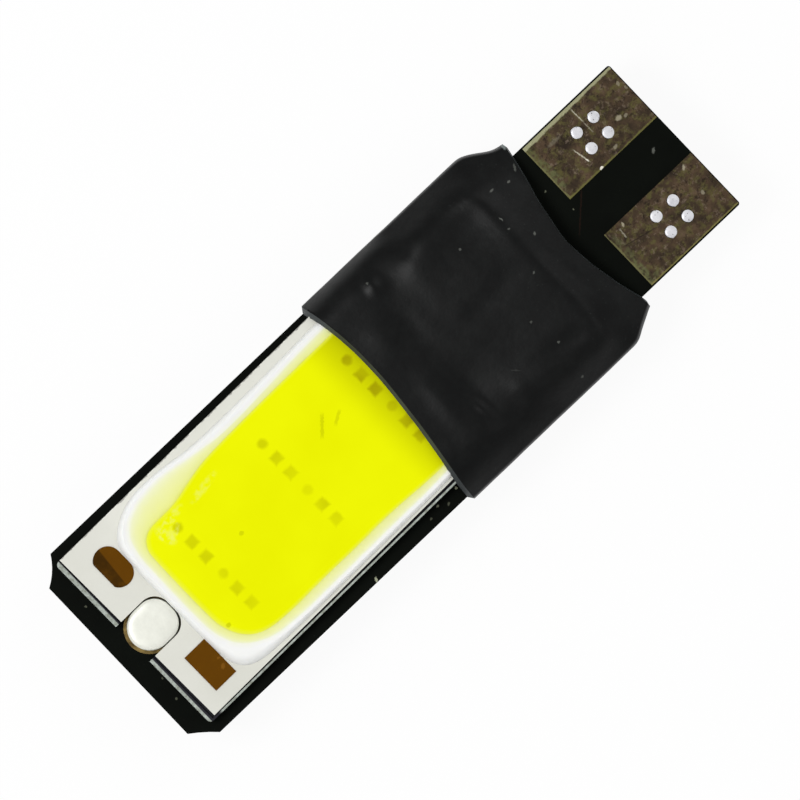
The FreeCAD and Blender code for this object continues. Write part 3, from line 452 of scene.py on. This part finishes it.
def plain_finish(name, low_hex, high_hex, patch, relief, **values):
    """Two close tones clouded together, with a fine relief of the same pattern."""
    material, tree, shader = new_material(name, **values)
    place = object_mm(tree)
    colour = clouded(tree, place, patch, [(0.3, low_hex), (0.7, high_hex)])
    dress(tree, shader, colour, colour, relief)
    return material


# Mesh helpers


def new_piece(name, points, faces, materials, replaced, washes=None, sharp=35):
    """A mesh piece from millimetre points; washes says how far the yellow resin tints each point,
    and sharp is the angle in degrees from which an edge stays crisp."""
    mesh = bpy.data.meshes.new(name)
    mesh.from_pydata([tuple(p) for p in np.asarray(points, float) * MM], [], faces)
    mesh.validate()
    mesh.update()
    for material in materials:
        mesh.materials.append(material)
    if washes is not None:
        wash = mesh.attributes.new("wash", "FLOAT", "POINT")
        wash.data.foreach_set("value", np.asarray(washes, np.float32))
    mesh.shade_smooth()
    mesh.set_sharp_from_angle(angle=math.radians(sharp))
    piece = bpy.data.objects.new(name, mesh)
    bpy.context.scene.collection.objects.link(piece)
    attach(piece, "root")
    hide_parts(*replaced)
    return piece


def strips_between(first, second, count):
    """Quads that join two closed rings of points by their starting numbers."""
    return [(first + k, first + (k + 1) % count, second + (k + 1) % count, second + k)
            for k in range(count)]


def capped(ring, first, upward):
    """Triangles that close a ring of points that begins at a number, facing up or down."""
    faces = []
    for a, b, c in geometry.tessellate_polygon([[Vector(p) for p in ring]]):
        rises = np.cross(ring[b][:2] - ring[a][:2], ring[c][:2] - ring[a][:2]) > 0
        second, third = (b, c) if rises == upward else (c, b)
        faces.append((first + a, first + second, first + third))
    return faces


def closed_skin(rings, caps=(True, True)):
    """Points and faces of a skin through closed rings of equal length, from the lowest up."""
    count = len(rings[0])
    faces = []
    for k in range(len(rings) - 1):
        faces += strips_between(k * count, (k + 1) * count, count)
    if caps[0]:
        faces += capped(rings[0], 0, False)
    if caps[1]:
        faces += capped(rings[-1], (len(rings) - 1) * count, True)
    return np.concatenate(rings), faces


def rounded_outline(corners, steps=12):
    """Closed outline with an arc at each corner; a corner is (x, y, radius), counter-clockwise."""
    line = []
    corner_points = [np.array(c[:2], float) for c in corners]
    for k, here in enumerate(corner_points):
        radius = corners[k][2]
        back = corner_points[k - 1] - here
        ahead = corner_points[(k + 1) % len(corners)] - here
        back /= np.linalg.norm(back)
        ahead /= np.linalg.norm(ahead)
        half = math.acos(max(-1, min(1, float(back @ ahead)))) / 2
        middle = here + (back + ahead) / np.linalg.norm(back + ahead) * radius / math.sin(half)
        start = here + back * radius / math.tan(half) - middle
        sweep = math.pi - 2 * half
        for j in range(steps + 1):
            a = sweep * j / steps
            c, s = math.cos(a), math.sin(a)
            line.append(middle + np.array([start[0] * c - start[1] * s, start[0] * s + start[1] * c]))
    return np.array(line)


def evenly(line, count):
    """A closed outline as count points at equal steps along it."""
    closed = np.vstack([line, line[:1]])
    run = np.concatenate([[0], np.cumsum(np.linalg.norm(np.diff(closed, axis=0), axis=1))])
    at = np.linspace(0, run[-1], count, endpoint=False)
    return np.stack([np.interp(at, run, closed[:, 0]), np.interp(at, run, closed[:, 1])], 1)


def inward(line):
    """Unit inward normals of an evenly spaced counter-clockwise outline."""
    run = np.roll(line, -1, 0) - np.roll(line, 1, 0)
    run /= np.linalg.norm(run, axis=1)[:, None]
    return np.stack([-run[:, 1], run[:, 0]], 1)


def smooth_loop(values, passes):
    """Smooths numbers round a closed ring."""
    for _ in range(passes):
        values = (np.roll(values, 1, 0) + 2 * values + np.roll(values, -1, 0)) / 4
    return values


def on_module(points, side):
    """Module-frame points moved to where that module sits."""
    points = np.asarray(points, float)
    if side > 0:
        c, s = math.cos(FRONT_SKEW), math.sin(FRONT_SKEW)
        return np.stack([
            MODULE_X + c * points[:, 0] - s * points[:, 1],
            FRONT_SHIFT + s * points[:, 0] + c * points[:, 1],
            MIDDLE + BOARD_HALF_THICK + points[:, 2],
        ], 1)
    height = MIDDLE - BOARD_HALF_THICK - points[:, 2]
    return np.stack([MODULE_X + points[:, 0], -points[:, 1], height], 1)


# Lit modules

# Points round each line of the dam, and the height of the filling.
RING = 320
FILL_TOP = BEAD_TOP - 0.04

# Outlines seen on the front module, in its own frame: the dam's foot, the edge of the yellow tint
# on the dam, and the edge of the full filling. The points were picked on the photograph and
# turned into millimetres at 20.13 pixels for each; a few were then moved.
DAM_FOOT = [
    (-8.85, 3.47), (-8.87, -0.03), (-8.83, -3.73), (-8.48, -4.53), (-7.75, -5.02), (-5.91, -5.13),
    (0.02, -5.14), (8.12, -5.11), (8.78, -4.37), (8.82, 0.03), (8.74, 4.43), (8.08, 5.08), (2.98, 4.96),
    (-0.31, 4.94), (-2.54, 4.97), (-3.54, 5.09), (-4.53, 5.26), (-6.01, 5.32), (-7.01, 5.17),
    (-8.01, 4.72), (-8.61, 4.17),
]
TINT_EDGE = [
    (-8.34, 1.55), (-8.38, -1.43), (-8.31, -2.43), (-7.93, -3.52), (-7.15, -4.22), (-6.15, -4.66),
    (-4.16, -4.82), (-2.67, -4.82), (1.3, -4.8), (5.57, -4.82), (7.92, -4.47), (8.31, -3.57),
    (8.29, 3.63), (7.68, 4.53), (5.9, 4.61), (3.91, 4.57), (2.32, 4.47), (-1.06, 4.34), (-2.55, 4.59),
    (-3.54, 4.74), (-4.53, 4.97), (-5.52, 4.98), (-6.62, 4.82), (-7.42, 4.52), (-8.02, 3.93),
    (-8.29, 2.87),
]
FILL_EDGE = [
    (-7.81, 2.53), (-7.85, -1.94), (-7.69, -2.63), (-7.43, -3.23), (-6.94, -3.82), (-6.15, -4.16),
    (-4.76, -4.28), (-2.67, -4.23), (-0.19, -4.28), (1.8, -4.21), (5.63, -4.48), (7.21, -4.17),
    (7.81, -3.17), (7.79, 3.23), (7.19, 4.03), (5.2, 4.09), (-0.06, 4.1), (-2.55, 4.03),
    (-3.45, 3.89), (-4.25, 3.71), (-5.04, 3.53), (-5.64, 3.48), (-6.83, 3.5), (-7.33, 3.32),
    (-7.64, 2.95),
]


def depth_to(outline, base, normals):
    """How far in from each base point, along its normal, a closed outline lies."""
    a = np.array(outline, float)
    for _ in range(3):
        b = np.roll(a, -1, 0)
        a = np.stack([0.75 * a + 0.25 * b, 0.25 * a + 0.75 * b], 1).reshape(-1, 2)
    b = np.roll(a, -1, 0)
    depths = []
    for point, normal in zip(base, normals):
        start, run = a - point, b - a
        cross = run[:, 0] * normal[1] - run[:, 1] * normal[0]
        cross[abs(cross) < 1e-9] = 1e-9
        share = (normal[0] * start[:, 1] - normal[1] * start[:, 0]) / cross
        far = (run[:, 0] * start[:, 1] - run[:, 1] * start[:, 0]) / cross
        ok = (share >= -1e-6) & (share <= 1 + 1e-6) & (abs(far) < 3)
        depths.append(far[ok][np.argmin(abs(far[ok]))] if ok.any() else np.nan)
    depths = np.array(depths)
    bad = np.isnan(depths)
    depths[bad] = np.interp(np.flatnonzero(bad), np.flatnonzero(~bad), depths[~bad])
    return depths


def light_field(side, dam_finish, fill_finish):
    """The dam as a soft bead with tinted inner slope, and the filling inside it."""
    face = "front" if side > 0 else "back"
    corner = 3.2
    base = rounded_outline([
        (-DAM_LONG, -DAM_WIDE, corner), (DAM_LONG, -DAM_WIDE, corner),
        (DAM_LONG, DAM_WIDE, corner), (-DAM_LONG, DAM_WIDE, corner)], 24)
    base = evenly(base, RING)
    normals = inward(base)
    lines = []
    for outline in (DAM_FOOT, TINT_EDGE, FILL_EDGE):
        if side < 0:
            outline = [(x, -y) for x, y in reversed(outline)]
        lines.append(smooth_loop(depth_to(outline, base, normals), 2))
    foot, tint, fill = lines
    tint = np.maximum(tint, foot + 0.3)
    fill = np.maximum(fill, tint + 0.08)
    crest = foot + np.minimum(0.5, (tint - foot) * 0.55)
    rings, washes = [], []

    def ring_at(depth, height, wash):
        flat = base + normals * depth[:, None]
        rings.append(np.column_stack([flat, np.broadcast_to(height, len(flat))]))
        washes.append(np.broadcast_to(wash, len(flat)))

    rise = BEAD_TOP - PLATE_TOP
    ring_at(foot, PLATE_TOP, 0.0)
    for share in (0.05, 0.12, 0.22, 0.35, 0.5, 0.72, 1.0):
        lift = rise * math.sin(share * math.pi / 2)
        ring_at(foot + (crest - foot) * share, PLATE_TOP + lift, 0.0)
    before = np.maximum(tint - 0.3, crest + 0.02)
    slope_top = BEAD_TOP - 0.01
    ring_at(before, slope_top, 0.0)
    for share in (0.0, 0.12, 0.3, 0.55, 0.8, 1.0):
        flat = tint + (fill - tint) * share
        ring_at(np.maximum(flat, before + 0.01), slope_top + (FILL_TOP - slope_top) * share ** 0.8,
                0.12 + 0.86 * share ** 0.8)
    ring_at(fill + 0.08, FILL_TOP - 0.02, 1.0)
    ring_at(fill + 0.08, PLATE_TOP, 1.0)
    points, faces = closed_skin(rings, (False, False))
    faces += strips_between((len(rings) - 1) * RING, 0, RING)
    new_piece(f"{face}_silicone_dam", on_module(points, side), faces, [dam_finish],
              [f"{face}_dam"], np.concatenate(washes))

    rings, washes = [], []
    ring_at(fill + 0.09, PLATE_TOP + 0.01, 1.0)
    ring_at(fill - 0.02, FILL_TOP - 0.03, 1.0)
    # the resin thins out slowly at the lamp's free end and ends sharply at the sides
    fade = 0.12 + 0.1 * np.clip(normals[:, 0], 0, 1)
    ring_at(fill - 0.03, FILL_TOP + 0.001, 0.95)
    ring_at(fill + 0.03, FILL_TOP + 0.006, 0.55)
    ring_at(fill + 0.03 + fade * 0.5, FILL_TOP + 0.004, 0.2)
    ring_at(fill + 0.03 + fade, FILL_TOP + 0.002, 0.0)
    ring_at(fill + 0.5, FILL_TOP - 0.006, 0.0)
    ring_at(fill + 0.8, FILL_TOP - 0.012, 0.0)
    points, faces = closed_skin(rings)
    new_piece(f"{face}_phosphor_filling", on_module(points, side), faces,
              [fill_finish], [f"{face}_phosphor_fill"], np.concatenate(washes))


def end_solder(side, finish):
    """The pillow of solder that fills the notch in the plate's end."""
    face = "front" if side > 0 else "back"
    left, right, half = -11.55, -8.85, 1.19
    round_end, soft_corner = half - 0.001, 1.02
    outline = evenly(rounded_outline([
        (left, -half, round_end), (right, -half, soft_corner), (right, half, soft_corner),
        (left, half, round_end)], 24), 160)
    normals = inward(outline)
    top, swell = PLATE_TOP + 0.2, 0.01
    profile = [
        (0.02, 0.052), (0.045, PLATE_TOP - 0.2), (0.055, PLATE_TOP), (0.06, PLATE_TOP + 0.07),
        (0.085, PLATE_TOP + 0.125), (0.14, PLATE_TOP + 0.165), (0.22, PLATE_TOP + 0.185),
        (0.36, top - 0.006), (0.6, top),
    ]
    rings = []
    for depth, height in profile:
        flat = outline + normals * depth
        ripple = np.array([noise.noise(Vector((*(p * 0.9), 3.0 * side))) for p in flat])
        above = height > PLATE_TOP
        lift = swell * ripple * above
        rings.append(np.column_stack([flat, height + lift - swell * above]))
    centre = outline.mean(0)
    for share in (0.5, 0.2):
        flat = centre + (outline + normals * 0.6 - centre) * share
        rings.append(np.column_stack([flat, np.full(len(flat), top - 0.012)]))
    points, faces = closed_skin(rings)
    new_piece(f"{face}_end_solder_pillow", on_module(points, side), faces, [finish],
              [f"{face}_end_solder"])


def via_plugs(finish):
    """Eight solder plugs with domed, slightly uneven heads on both faces of the tongue."""
    count, points, faces = 40, [], []
    low, high = reach("via_solder")
    for k, (x, y) in enumerate([(x, y) for x in (15.54, 16.68) for y in (-3.54, -2.48, 2.18, 3.24)]):
        rings = []
        for radius, height in (
            (0.08, low[2] - 0.03), (0.2, low[2] - 0.026), (0.27, low[2] - 0.012), (0.3, low[2] + 0.01),
            (0.3, high[2] - 0.01), (0.3, high[2] + 0.006), (0.27, high[2] + 0.022),
            (0.2, high[2] + 0.034), (0.08, high[2] + 0.04),
        ):
            ring = []
            for j in range(count):
                a = 2 * math.pi * j / count
                c, s = math.cos(a), math.sin(a)
                uneven = 1 + 0.06 * noise.noise(Vector((c, s, 5.0 * k)))
                ring.append((x + radius * uneven * c, y + radius * uneven * s, height))
            rings.append(np.array(ring))
        some, made = closed_skin(rings)
        start = sum(len(p) for p in points)
        faces += [tuple(v + start for v in f) for f in made]
        points.append(some)
    new_piece("via_solder_plugs", np.concatenate(points), faces, [finish], ["via_solder"])


# Shrink sleeve

# The film's thickness, the air under it, its inner half width, and the step of its height grid.
WALL = 0.325
FIT = 0.03
INNER_HALF = 6.1
STEP = 0.1

# The film's cut ends, as pairs of Y and X, picked in the same way. Both ends are bowed in.
MOUTH = [(-6.5, -0.87), (-5.24, -0.77), (-3.75, -0.5), (-2.01, -0.25), (-0.02, -0.05), (0.97, 0.03),
         (1.96, 0.05), (2.96, 0.03), (3.95, -0.05), (4.94, -0.2), (5.54, -0.35), (6.08, -0.54),
         (6.5, -0.36)]
TAIL = [(-6.0, 12.3), (-5.42, 12.32), (-5.02, 12.3), (-3.68, 11.92), (-1.94, 11.58), (-0.45, 11.45),
        (0.04, 11.48), (2.03, 11.82), (3.53, 12.22), (4.72, 12.47), (5.39, 12.59), (6.0, 12.6)]
# The film's outer half width on each side, as pairs of X and half width.
SIDE_UP = [(-1.5, 6.43), (10.3, 6.43), (10.6, 6.36), (11.18, 6.02), (11.67, 5.66), (12.07, 5.47),
           (12.7, 5.38)]
SIDE_DOWN = [(-1.5, 6.43), (10.5, 6.43), (10.8, 6.34), (11.18, 6.08), (11.67, 5.83), (12.17, 5.56),
             (12.5, 5.42)]

# Rows that keep the film up: X from and to, Y from and to, and height over the board's middle plane.
# On the front nothing lies under it from X 4.6 to 5.8 at this height, nor from 10.9 to 12: there it
# stands by its own stiffness, at heights chosen for the shading in the photograph.
BOARD_SUPPORTS = [(-2.0, 10.4, -6.1, 6.1, 1.0), (10.4, 13.0, -4.9, 4.6, 1.0)]
FRONT_SUPPORTS = BOARD_SUPPORTS + [
    (2.6, 3.3, 3.5, 4.75, 2.235), (2.6, 3.3, -4.0, -2.8, 2.235),
    (4.9, 9.9, 0.2, 4.3, 2.44), (4.6, 9.9, -4.4, -0.2, 2.44), (5.8, 9.7, -4.8, 4.8, 2.4),
    (10.9, 11.2, 0.9, 4.3, 1.72), (10.9, 11.2, -3.4, -0.9, 1.72), (11.9, 12.0, -4.2, 4.2, 1.32),
]
BACK_SUPPORTS = BOARD_SUPPORTS + [
    (2.6, 3.9, 3.1, 4.3, 2.235), (2.6, 3.9, -4.3, -3.1, 2.235),
    (5.3, 10.3, 1.35, 3.85, 1.55), (5.3, 10.3, -3.85, -1.35, 1.55),
]
# Swellings and hollows of the outer face, chosen the same way: centre, half size, turn in degrees
# and height.
FILM_RELIEF = [
    ((8.5, 4.0), (1.8, 1.4), 0, -0.26), ((8.6, 1.8), (1.0, 1.6), 0, -0.03),
    ((5.0, 2.4), (1.6, 2.0), 0, -0.05), ((4.3, -2.2), (3.2, 2.6), 0, -0.18),
    ((3.1, -2.6), (0.55, 1.5), 0, -0.08), ((3.6, 0.3), (0.7, 1.3), 0, 0.03),
    ((8.2, -4.1), (1.4, 0.55), -15, -0.15),
    ((11.25, -2.1), (0.5, 1.1), 0, 0.04), ((11.3, 3.0), (0.6, 1.7), 0, 0.04),
    ((10.3, -1.0), (0.45, 2.2), 4, -0.06), ((1.4, 2.4), (0.8, 1.0), 0, 0.085),
    ((1.55, -2.0), (0.6, 1.6), 0, 0.12), ((2.95, 4.7), (0.4, 0.6), -12, 0.15),
    ((2.75, -3.5), (0.25, 0.6), 10, 0.1), ((2.9, 2.0), (0.6, 1.6), 0, -0.04),
    ((7.0, 0.3), (3.0, 0.5), 2, -0.03),
]


def read_along(table, values):
    """Smoothed reading of a table of pairs."""
    table = np.array(sorted(table))
    nearby = np.linspace(-0.25, 0.25, 7)
    return sum(np.interp(values + step, table[:, 0], table[:, 1]) for step in nearby) / len(nearby)


def plate_and_dam(x, y, side):
    """Height over the board's middle plane of the plate and the dam's end, 0 beside them."""
    shift, skew = (FRONT_SHIFT, FRONT_SKEW) if side > 0 else (0.0, 0.0)
    dx, dy = x - MODULE_X, y - shift
    own_x = dx * math.cos(skew) + dy * math.sin(skew)
    own_y = dy * math.cos(skew) - dx * math.sin(skew)
    plate_end, plate_half = 11.03, (plate_high[1] - plate_low[1]) / 2
    height = np.zeros(x.shape)
    height[(own_x < plate_end) & (abs(own_y) < plate_half + 0.1)] = BOARD_HALF_THICK + PLATE_TOP
    height[(own_x < DAM_LONG - 0.2) & (abs(own_y) < DAM_WIDE - 0.3)] = BOARD_HALF_THICK + BEAD_TOP
    return height


def film_height(supports, side, xs, vs):
    """Height over the middle plane of a film stretched over what lies under it and held down at its
    sides: a taut string across each row, then relaxed as a membrane."""
    up, down = read_along(SIDE_UP, xs) - WALL, read_along(SIDE_DOWN, xs) - WALL
    y = np.where(vs[None, :] > 0, vs[None, :] * up[:, None], vs[None, :] * down[:, None])
    x = np.broadcast_to(xs[:, None], y.shape)
    least = plate_and_dam(x, y, side) + FIT
    for x0, x1, y0, y1, height in supports:
        inside = (x >= x0) & (x <= x1) & (y >= y0) & (y <= y1)
        least[inside] = np.maximum(least[inside], height + FIT)
    held = np.interp(xs, [10.4, 12.5], [BOARD_HALF_THICK + FIT, 0.9])
    least[:, 0] = least[:, -1] = held
    film = np.empty(y.shape)
    for k, (across, level) in enumerate(zip(y, least)):
        hull = []
        for j in range(len(across)):
            while len(hull) > 1:
                a, b = hull[-2:]
                kept = (level[b] - level[a]) * (across[j] - across[a])
                if kept > (level[j] - level[a]) * (across[b] - across[a]):
                    break
                hull.pop()
            hull.append(j)
        film[k] = np.interp(across, across[hull], level[hull])
    # round the lamp the film pulls half as hard again as along it
    hoop = 1.5 * (STEP * len(vs) / (2 * INNER_HALF)) ** 2
    relaxing, smoothing = 700, 14
    for _ in range(relaxing):
        film[0], film[-1] = film[1], film[-2]
        inner = (film[:-2, 1:-1] + film[2:, 1:-1]) / 2 + (film[1:-1, :-2] + film[1:-1, 2:]) / 2 * hoop
        film[1:-1, 1:-1] = np.maximum(inner / (1 + hoop), least[1:-1, 1:-1])
    for _ in range(smoothing):
        film[1:-1] = (film[:-2] + 2 * film[1:-1] + film[2:]) / 4
        film[:, 1:-1] = (film[:, :-2] + 2 * film[:, 1:-1] + film[:, 2:]) / 4
    return film


def sample(grid, xs, vs, x, v):
    """Bilinear reading of a grid."""
    fx = np.clip((x - xs[0]) / (xs[1] - xs[0]), 0, len(xs) - 1.001)
    fv = np.clip((v - vs[0]) / (vs[1] - vs[0]), 0, len(vs) - 1.001)
    i, j = fx.astype(int), fv.astype(int)
    s, t = fx - i, fv - j
    return ((grid[i, j] * (1 - s) + grid[i + 1, j] * s) * (1 - t)
            + (grid[i, j + 1] * (1 - s) + grid[i + 1, j + 1] * s) * t)


def swelling(points):
    """How far the film's front face swells at each point, in millimetres."""
    total = np.zeros(len(points))
    for centre, half_size, turn, height in FILM_RELIEF:
        c, s = math.cos(math.radians(turn)), math.sin(math.radians(turn))
        dx, dy = points[:, 0] - centre[0], points[:, 1] - centre[1]
        u, v = (dx * c + dy * s) / half_size[0], (dy * c - dx * s) / half_size[1]
        total += height * np.exp(-u ** 2 - v ** 2)
    return total


def sleeve(finish, lit_cut_finish):
    """The film as one closed skin: outer face, cut ends and inner face."""
    xs = np.arange(-1.4, 12.9, STEP)
    vs = np.linspace(-1, 1, 121)
    front = film_height(FRONT_SUPPORTS, 1, xs, vs)
    back = film_height(BACK_SUPPORTS, -1, xs, vs)
    # rows along the film, points across each of its faces, and points down each side
    rows, flat, fold = 170, 110, 5
    sweep = np.sin(np.linspace(-1, 1, flat) * math.pi / 2)
    v = np.concatenate([sweep, np.ones(fold), sweep[::-1], -np.ones(fold)])
    on_back = np.repeat([False, False, True, True], [flat, fold, flat, fold])
    on_side = np.repeat([False, True, False, True], [flat, fold, flat, fold])
    drop = np.linspace(1, -1, fold + 2)[1:-1]
    side_share = np.concatenate([np.zeros(flat), drop, np.zeros(flat), drop[::-1]])
    count = len(v)

    def section(u):
        """Inner line of the film at share u of its length: front, +Y side, back, -Y side."""
        y = v * INNER_HALF
        for _ in range(3):
            ends = read_along(MOUTH, y), read_along(TAIL, y)
            x = ends[0] + (ends[1] - ends[0]) * u
            y = v * (np.where(v > 0, read_along(SIDE_UP, x), read_along(SIDE_DOWN, x)) - WALL)
        high, low = sample(front, xs, vs, x, v), -sample(back, xs, vs, x, v)
        on_edge = (high + low) / 2 + side_share * (high - low) / 2
        z = np.where(on_side, on_edge, np.where(on_back, low, high))
        return np.column_stack([x, y, z])

    def grown(ring, wall):
        """The ring moved out by the wall, across the film."""
        run = np.roll(ring[:, 1:], -1, 0) - np.roll(ring[:, 1:], 1, 0)
        run /= np.maximum(np.linalg.norm(run, axis=1), 1e-6)[:, None]
        out = smooth_loop(np.stack([-run[:, 1], run[:, 0]], 1), 3)
        out /= np.linalg.norm(out, axis=1)[:, None]
        moved = ring.copy()
        moved[:, 1:] += out * wall
        return moved

    # the rows lie closer together towards both cut ends
    crowding = 0.35
    outer, inner = [], []
    for k in range(rows + 1):
        u = k / rows
        u = u - crowding * math.sin(2 * math.pi * u) / (2 * math.pi)
        ring = section(u)
        outside = grown(ring, WALL)
        outside[:, 1:] = smooth_loop(outside[:, 1:], 6)
        wave = np.array([noise.noise(Vector(p) * 0.55) + 0.5 * noise.noise(Vector(p) * 1.3)
                         for p in outside])
        inwards = np.column_stack([np.zeros(count), -0.1 * outside[:, 1], -outside[:, 2]])
        inwards /= np.maximum(np.linalg.norm(inwards, axis=1), 1e-6)[:, None]
        shrink = 0.012 + 0.012 * wave - np.where(on_back, 0.0, swelling(outside) * (outside[:, 2] > 1.0))
        outer.append(outside + inwards * shrink[:, None])
        inner.append(grown(ring, 0.02))
    # the knife leaned a little, so the cut face shows from above at the mouth
    mouth_lean, tail_lean = 0.2, 0.05
    outer[0][:, 0] += mouth_lean
    for before, after in zip(outer[:3], outer[1:4]):
        after[:, 0] = np.maximum(after[:, 0], before[:, 0] + 0.03)
    outer[-1][:, 0] -= tail_lean
    rings = outer + inner[::-1]
    points, faces = closed_skin(rings, (False, False))
    faces += strips_between((len(rings) - 1) * count, 0, count)
    points[:, 2] += MIDDLE
    low, high = reach("shrink_sleeve")
    points[:, 1] = np.clip(points[:, 1], low[1] + 0.002, high[1] - 0.002)
    points[:, 2] = np.clip(points[:, 2], low[2] + 0.002, high[2] - 0.002)
    piece = new_piece("shrink_film_sleeve", points, faces, [finish, lit_cut_finish],
                      ["shrink_sleeve"], sharp=50)
    for polygon in piece.data.polygons:
        row = min(polygon.vertices) // count
        spread = max(polygon.vertices) // count - row
        if row == len(outer) - 1 and spread == 1 or spread > 1:
            polygon.material_index = 1
    return piece


# Finish the pieces

solder_bright = reflowed_solder("reflowed_tin_solder", "E8E9DE", "F0F1E6", 0.0)
solder_pitted = reflowed_solder("pitted_tin_solder", "D2D2D8", "EDEDF1", 0.9)
film = shrink_film("black_shrink_film", "040505", "080909")
# painted light: the cut faces get a paler copy of the film, for the light that they catch
film_cut_lit = shrink_film("lit_cut_shrink_film", "363A3B", "464B4C")
tinned = plain_finish("tinned_copper", "B9B9B2", "D0D0CA", 0.3, 0.004, Metallic=1.0, Roughness=0.35)

finishes = {}
for face, side in (("front", 1), ("back", -1)):
    light_field(side, dam_silicone(side), phosphor(side))
    end_solder(side, solder_bright)
    finishes[f"{face}_plate"] = plate_enamel(side)
    finishes[f"{face}_supply_lands"] = bare_copper(side)

via_plugs(solder_pitted)
sleeve(film, film_cut_lit)

finishes["carrier_board"] = solder_mask()
plating = contact_plating()
black_epoxy = plain_finish("moulded_black_epoxy", "161616", "202020", 0.2, 0.006, Roughness=0.6,
                           Specular_IOR_Level=0.3)
alumina = plain_finish("glazed_alumina", "1B1B1D", "26262A", 0.5, 0.003, Roughness=0.3)
tape = plain_finish("thermal_bonding_tape", "A9A9A2", "C2C2BC", 0.25, 0.01, Roughness=0.8)
crystal = plain_finish("gallium_nitride_dice", "B5B83A", "C9CC48", 0.1, 0.002, Roughness=0.3)
stained = plain_finish("flux_stained_copper", "4A3A18", "8A7440", 0.3, 0.006, Metallic=0.7,
                       Roughness=0.45)
finishes.update({
    "positive_contact": plating,
    "negative_contact": plating,
    "front_rectifier": black_epoxy,
    "front_regulator": black_epoxy,
    "front_rectifier_leads": tinned,
    "front_regulator_leads": tinned,
    "back_resistors": alumina,
    "back_resistor_ends": tinned,
})
for face in ("front", "back"):
    finishes[f"{face}_bond_layer"] = tape
    finishes[f"{face}_light_dice"] = crystal
    finishes[f"{face}_copper_rim"] = stained
    finishes[f"{face}_supply_strips"] = tinned
    finishes[f"{face}_strip_solder"] = solder_bright
for name, finish in finishes.items():
    nodes[name].data.materials.clear()
    nodes[name].data.materials.append(finish)

# Studio


def studio():
    """Pale floor, soft sky, four soft lamps and the camera straight above."""
    material, tree, shader = new_material("pale_matt_floor", Roughness=0.9, Specular_IOR_Level=0.0)
    colour = clouded(tree, object_mm(tree), 40.0, [(0.3, "FDFDFD"), (0.7, "FFFFFF")], 2.0)
    tree.links.new(colour, shader.inputs["Base Color"])
    ray = add(tree, "LightPath")
    glow = add(tree, "Emission", {0: (1, 1, 1, 1), 1: 1.0})
    share = add(tree, "Math", {0: ray.outputs["Is Camera Ray"], 1: 0.93}, operation="MULTIPLY")
    mixed = add(tree, "MixShader", {0: share, 1: shader.outputs[0], 2: glow})
    tree.links.new(mixed.outputs[0], tree.nodes["Material Output"].inputs["Surface"])
    mesh = bpy.data.meshes.new("floor")
    # metres: the floor's half size, and its height just under the lamp
    far, under = 1.2, -0.00005
    corners = [(-far, -far, under), (far, -far, under), (far, far, under), (-far, far, under)]
    mesh.from_pydata(corners, [], [(0, 1, 2, 3)])
    mesh.materials.append(material)
    floor = bpy.data.objects.new("floor", mesh)
    bpy.context.scene.collection.objects.link(floor)

    world = bpy.data.worlds.new("soft_sky")
    world.use_nodes = True
    bpy.context.scene.world = world
    tree = world.node_tree
    # the sky's strength on the object, and as the camera sees it
    soft, white = 0.47, 1.0
    ray = add(tree, "LightPath")
    level = add(tree, "MapRange", {0: ray.outputs["Is Camera Ray"], 3: soft, 4: white})
    sky = tree.nodes["Background"]
    sky.inputs[0].default_value = (1, 1, 1, 1)
    tree.links.new(level.outputs[0], sky.inputs[1])

    # azimuth and elevation in degrees, and the share of the level light that each lamp gives
    for name, azimuth, elevation, share in (
        ("key", 142, 62, 0.38), ("left", 225, 45, 0.03), ("right", 320, 45, 0.03), ("tip", 15, 38, 0.06),
    ):
        lamp = bpy.data.lights.new(name, "AREA")
        lamp.size, distance = 0.09, 0.22
        a, e = math.radians(azimuth), math.radians(elevation)
        lamp.energy = math.pi ** 2 * distance ** 2 * share / math.sin(e)
        stand = bpy.data.objects.new(name, lamp)
        stand.location = (distance * math.cos(e) * math.cos(a), distance * math.cos(e) * math.sin(a),
                          distance * math.sin(e))
        stand.rotation_euler = (-Vector(stand.location)).to_track_quat("-Z", "Y").to_euler()
        bpy.context.scene.collection.objects.link(stand)

    # metres: the camera's height over the lamp, and the width that its frame takes in there
    height, wide = 0.6, 0.03974
    camera_data = bpy.data.cameras.new("camera")
    camera_data.sensor_width = 36.0
    camera_data.lens = 36.0 * height / wide
    camera_data.clip_start = 0.01
    camera = bpy.data.objects.new("camera", camera_data)
    camera.location = (0.05 * MM, -0.32 * MM, MIDDLE * MM + height)
    camera.rotation_euler = (0, 0, math.radians(-43.57))
    bpy.context.scene.collection.objects.link(camera)
    bpy.context.scene.camera = camera
    bpy.context.scene.view_settings.view_transform = "Standard"


studio()
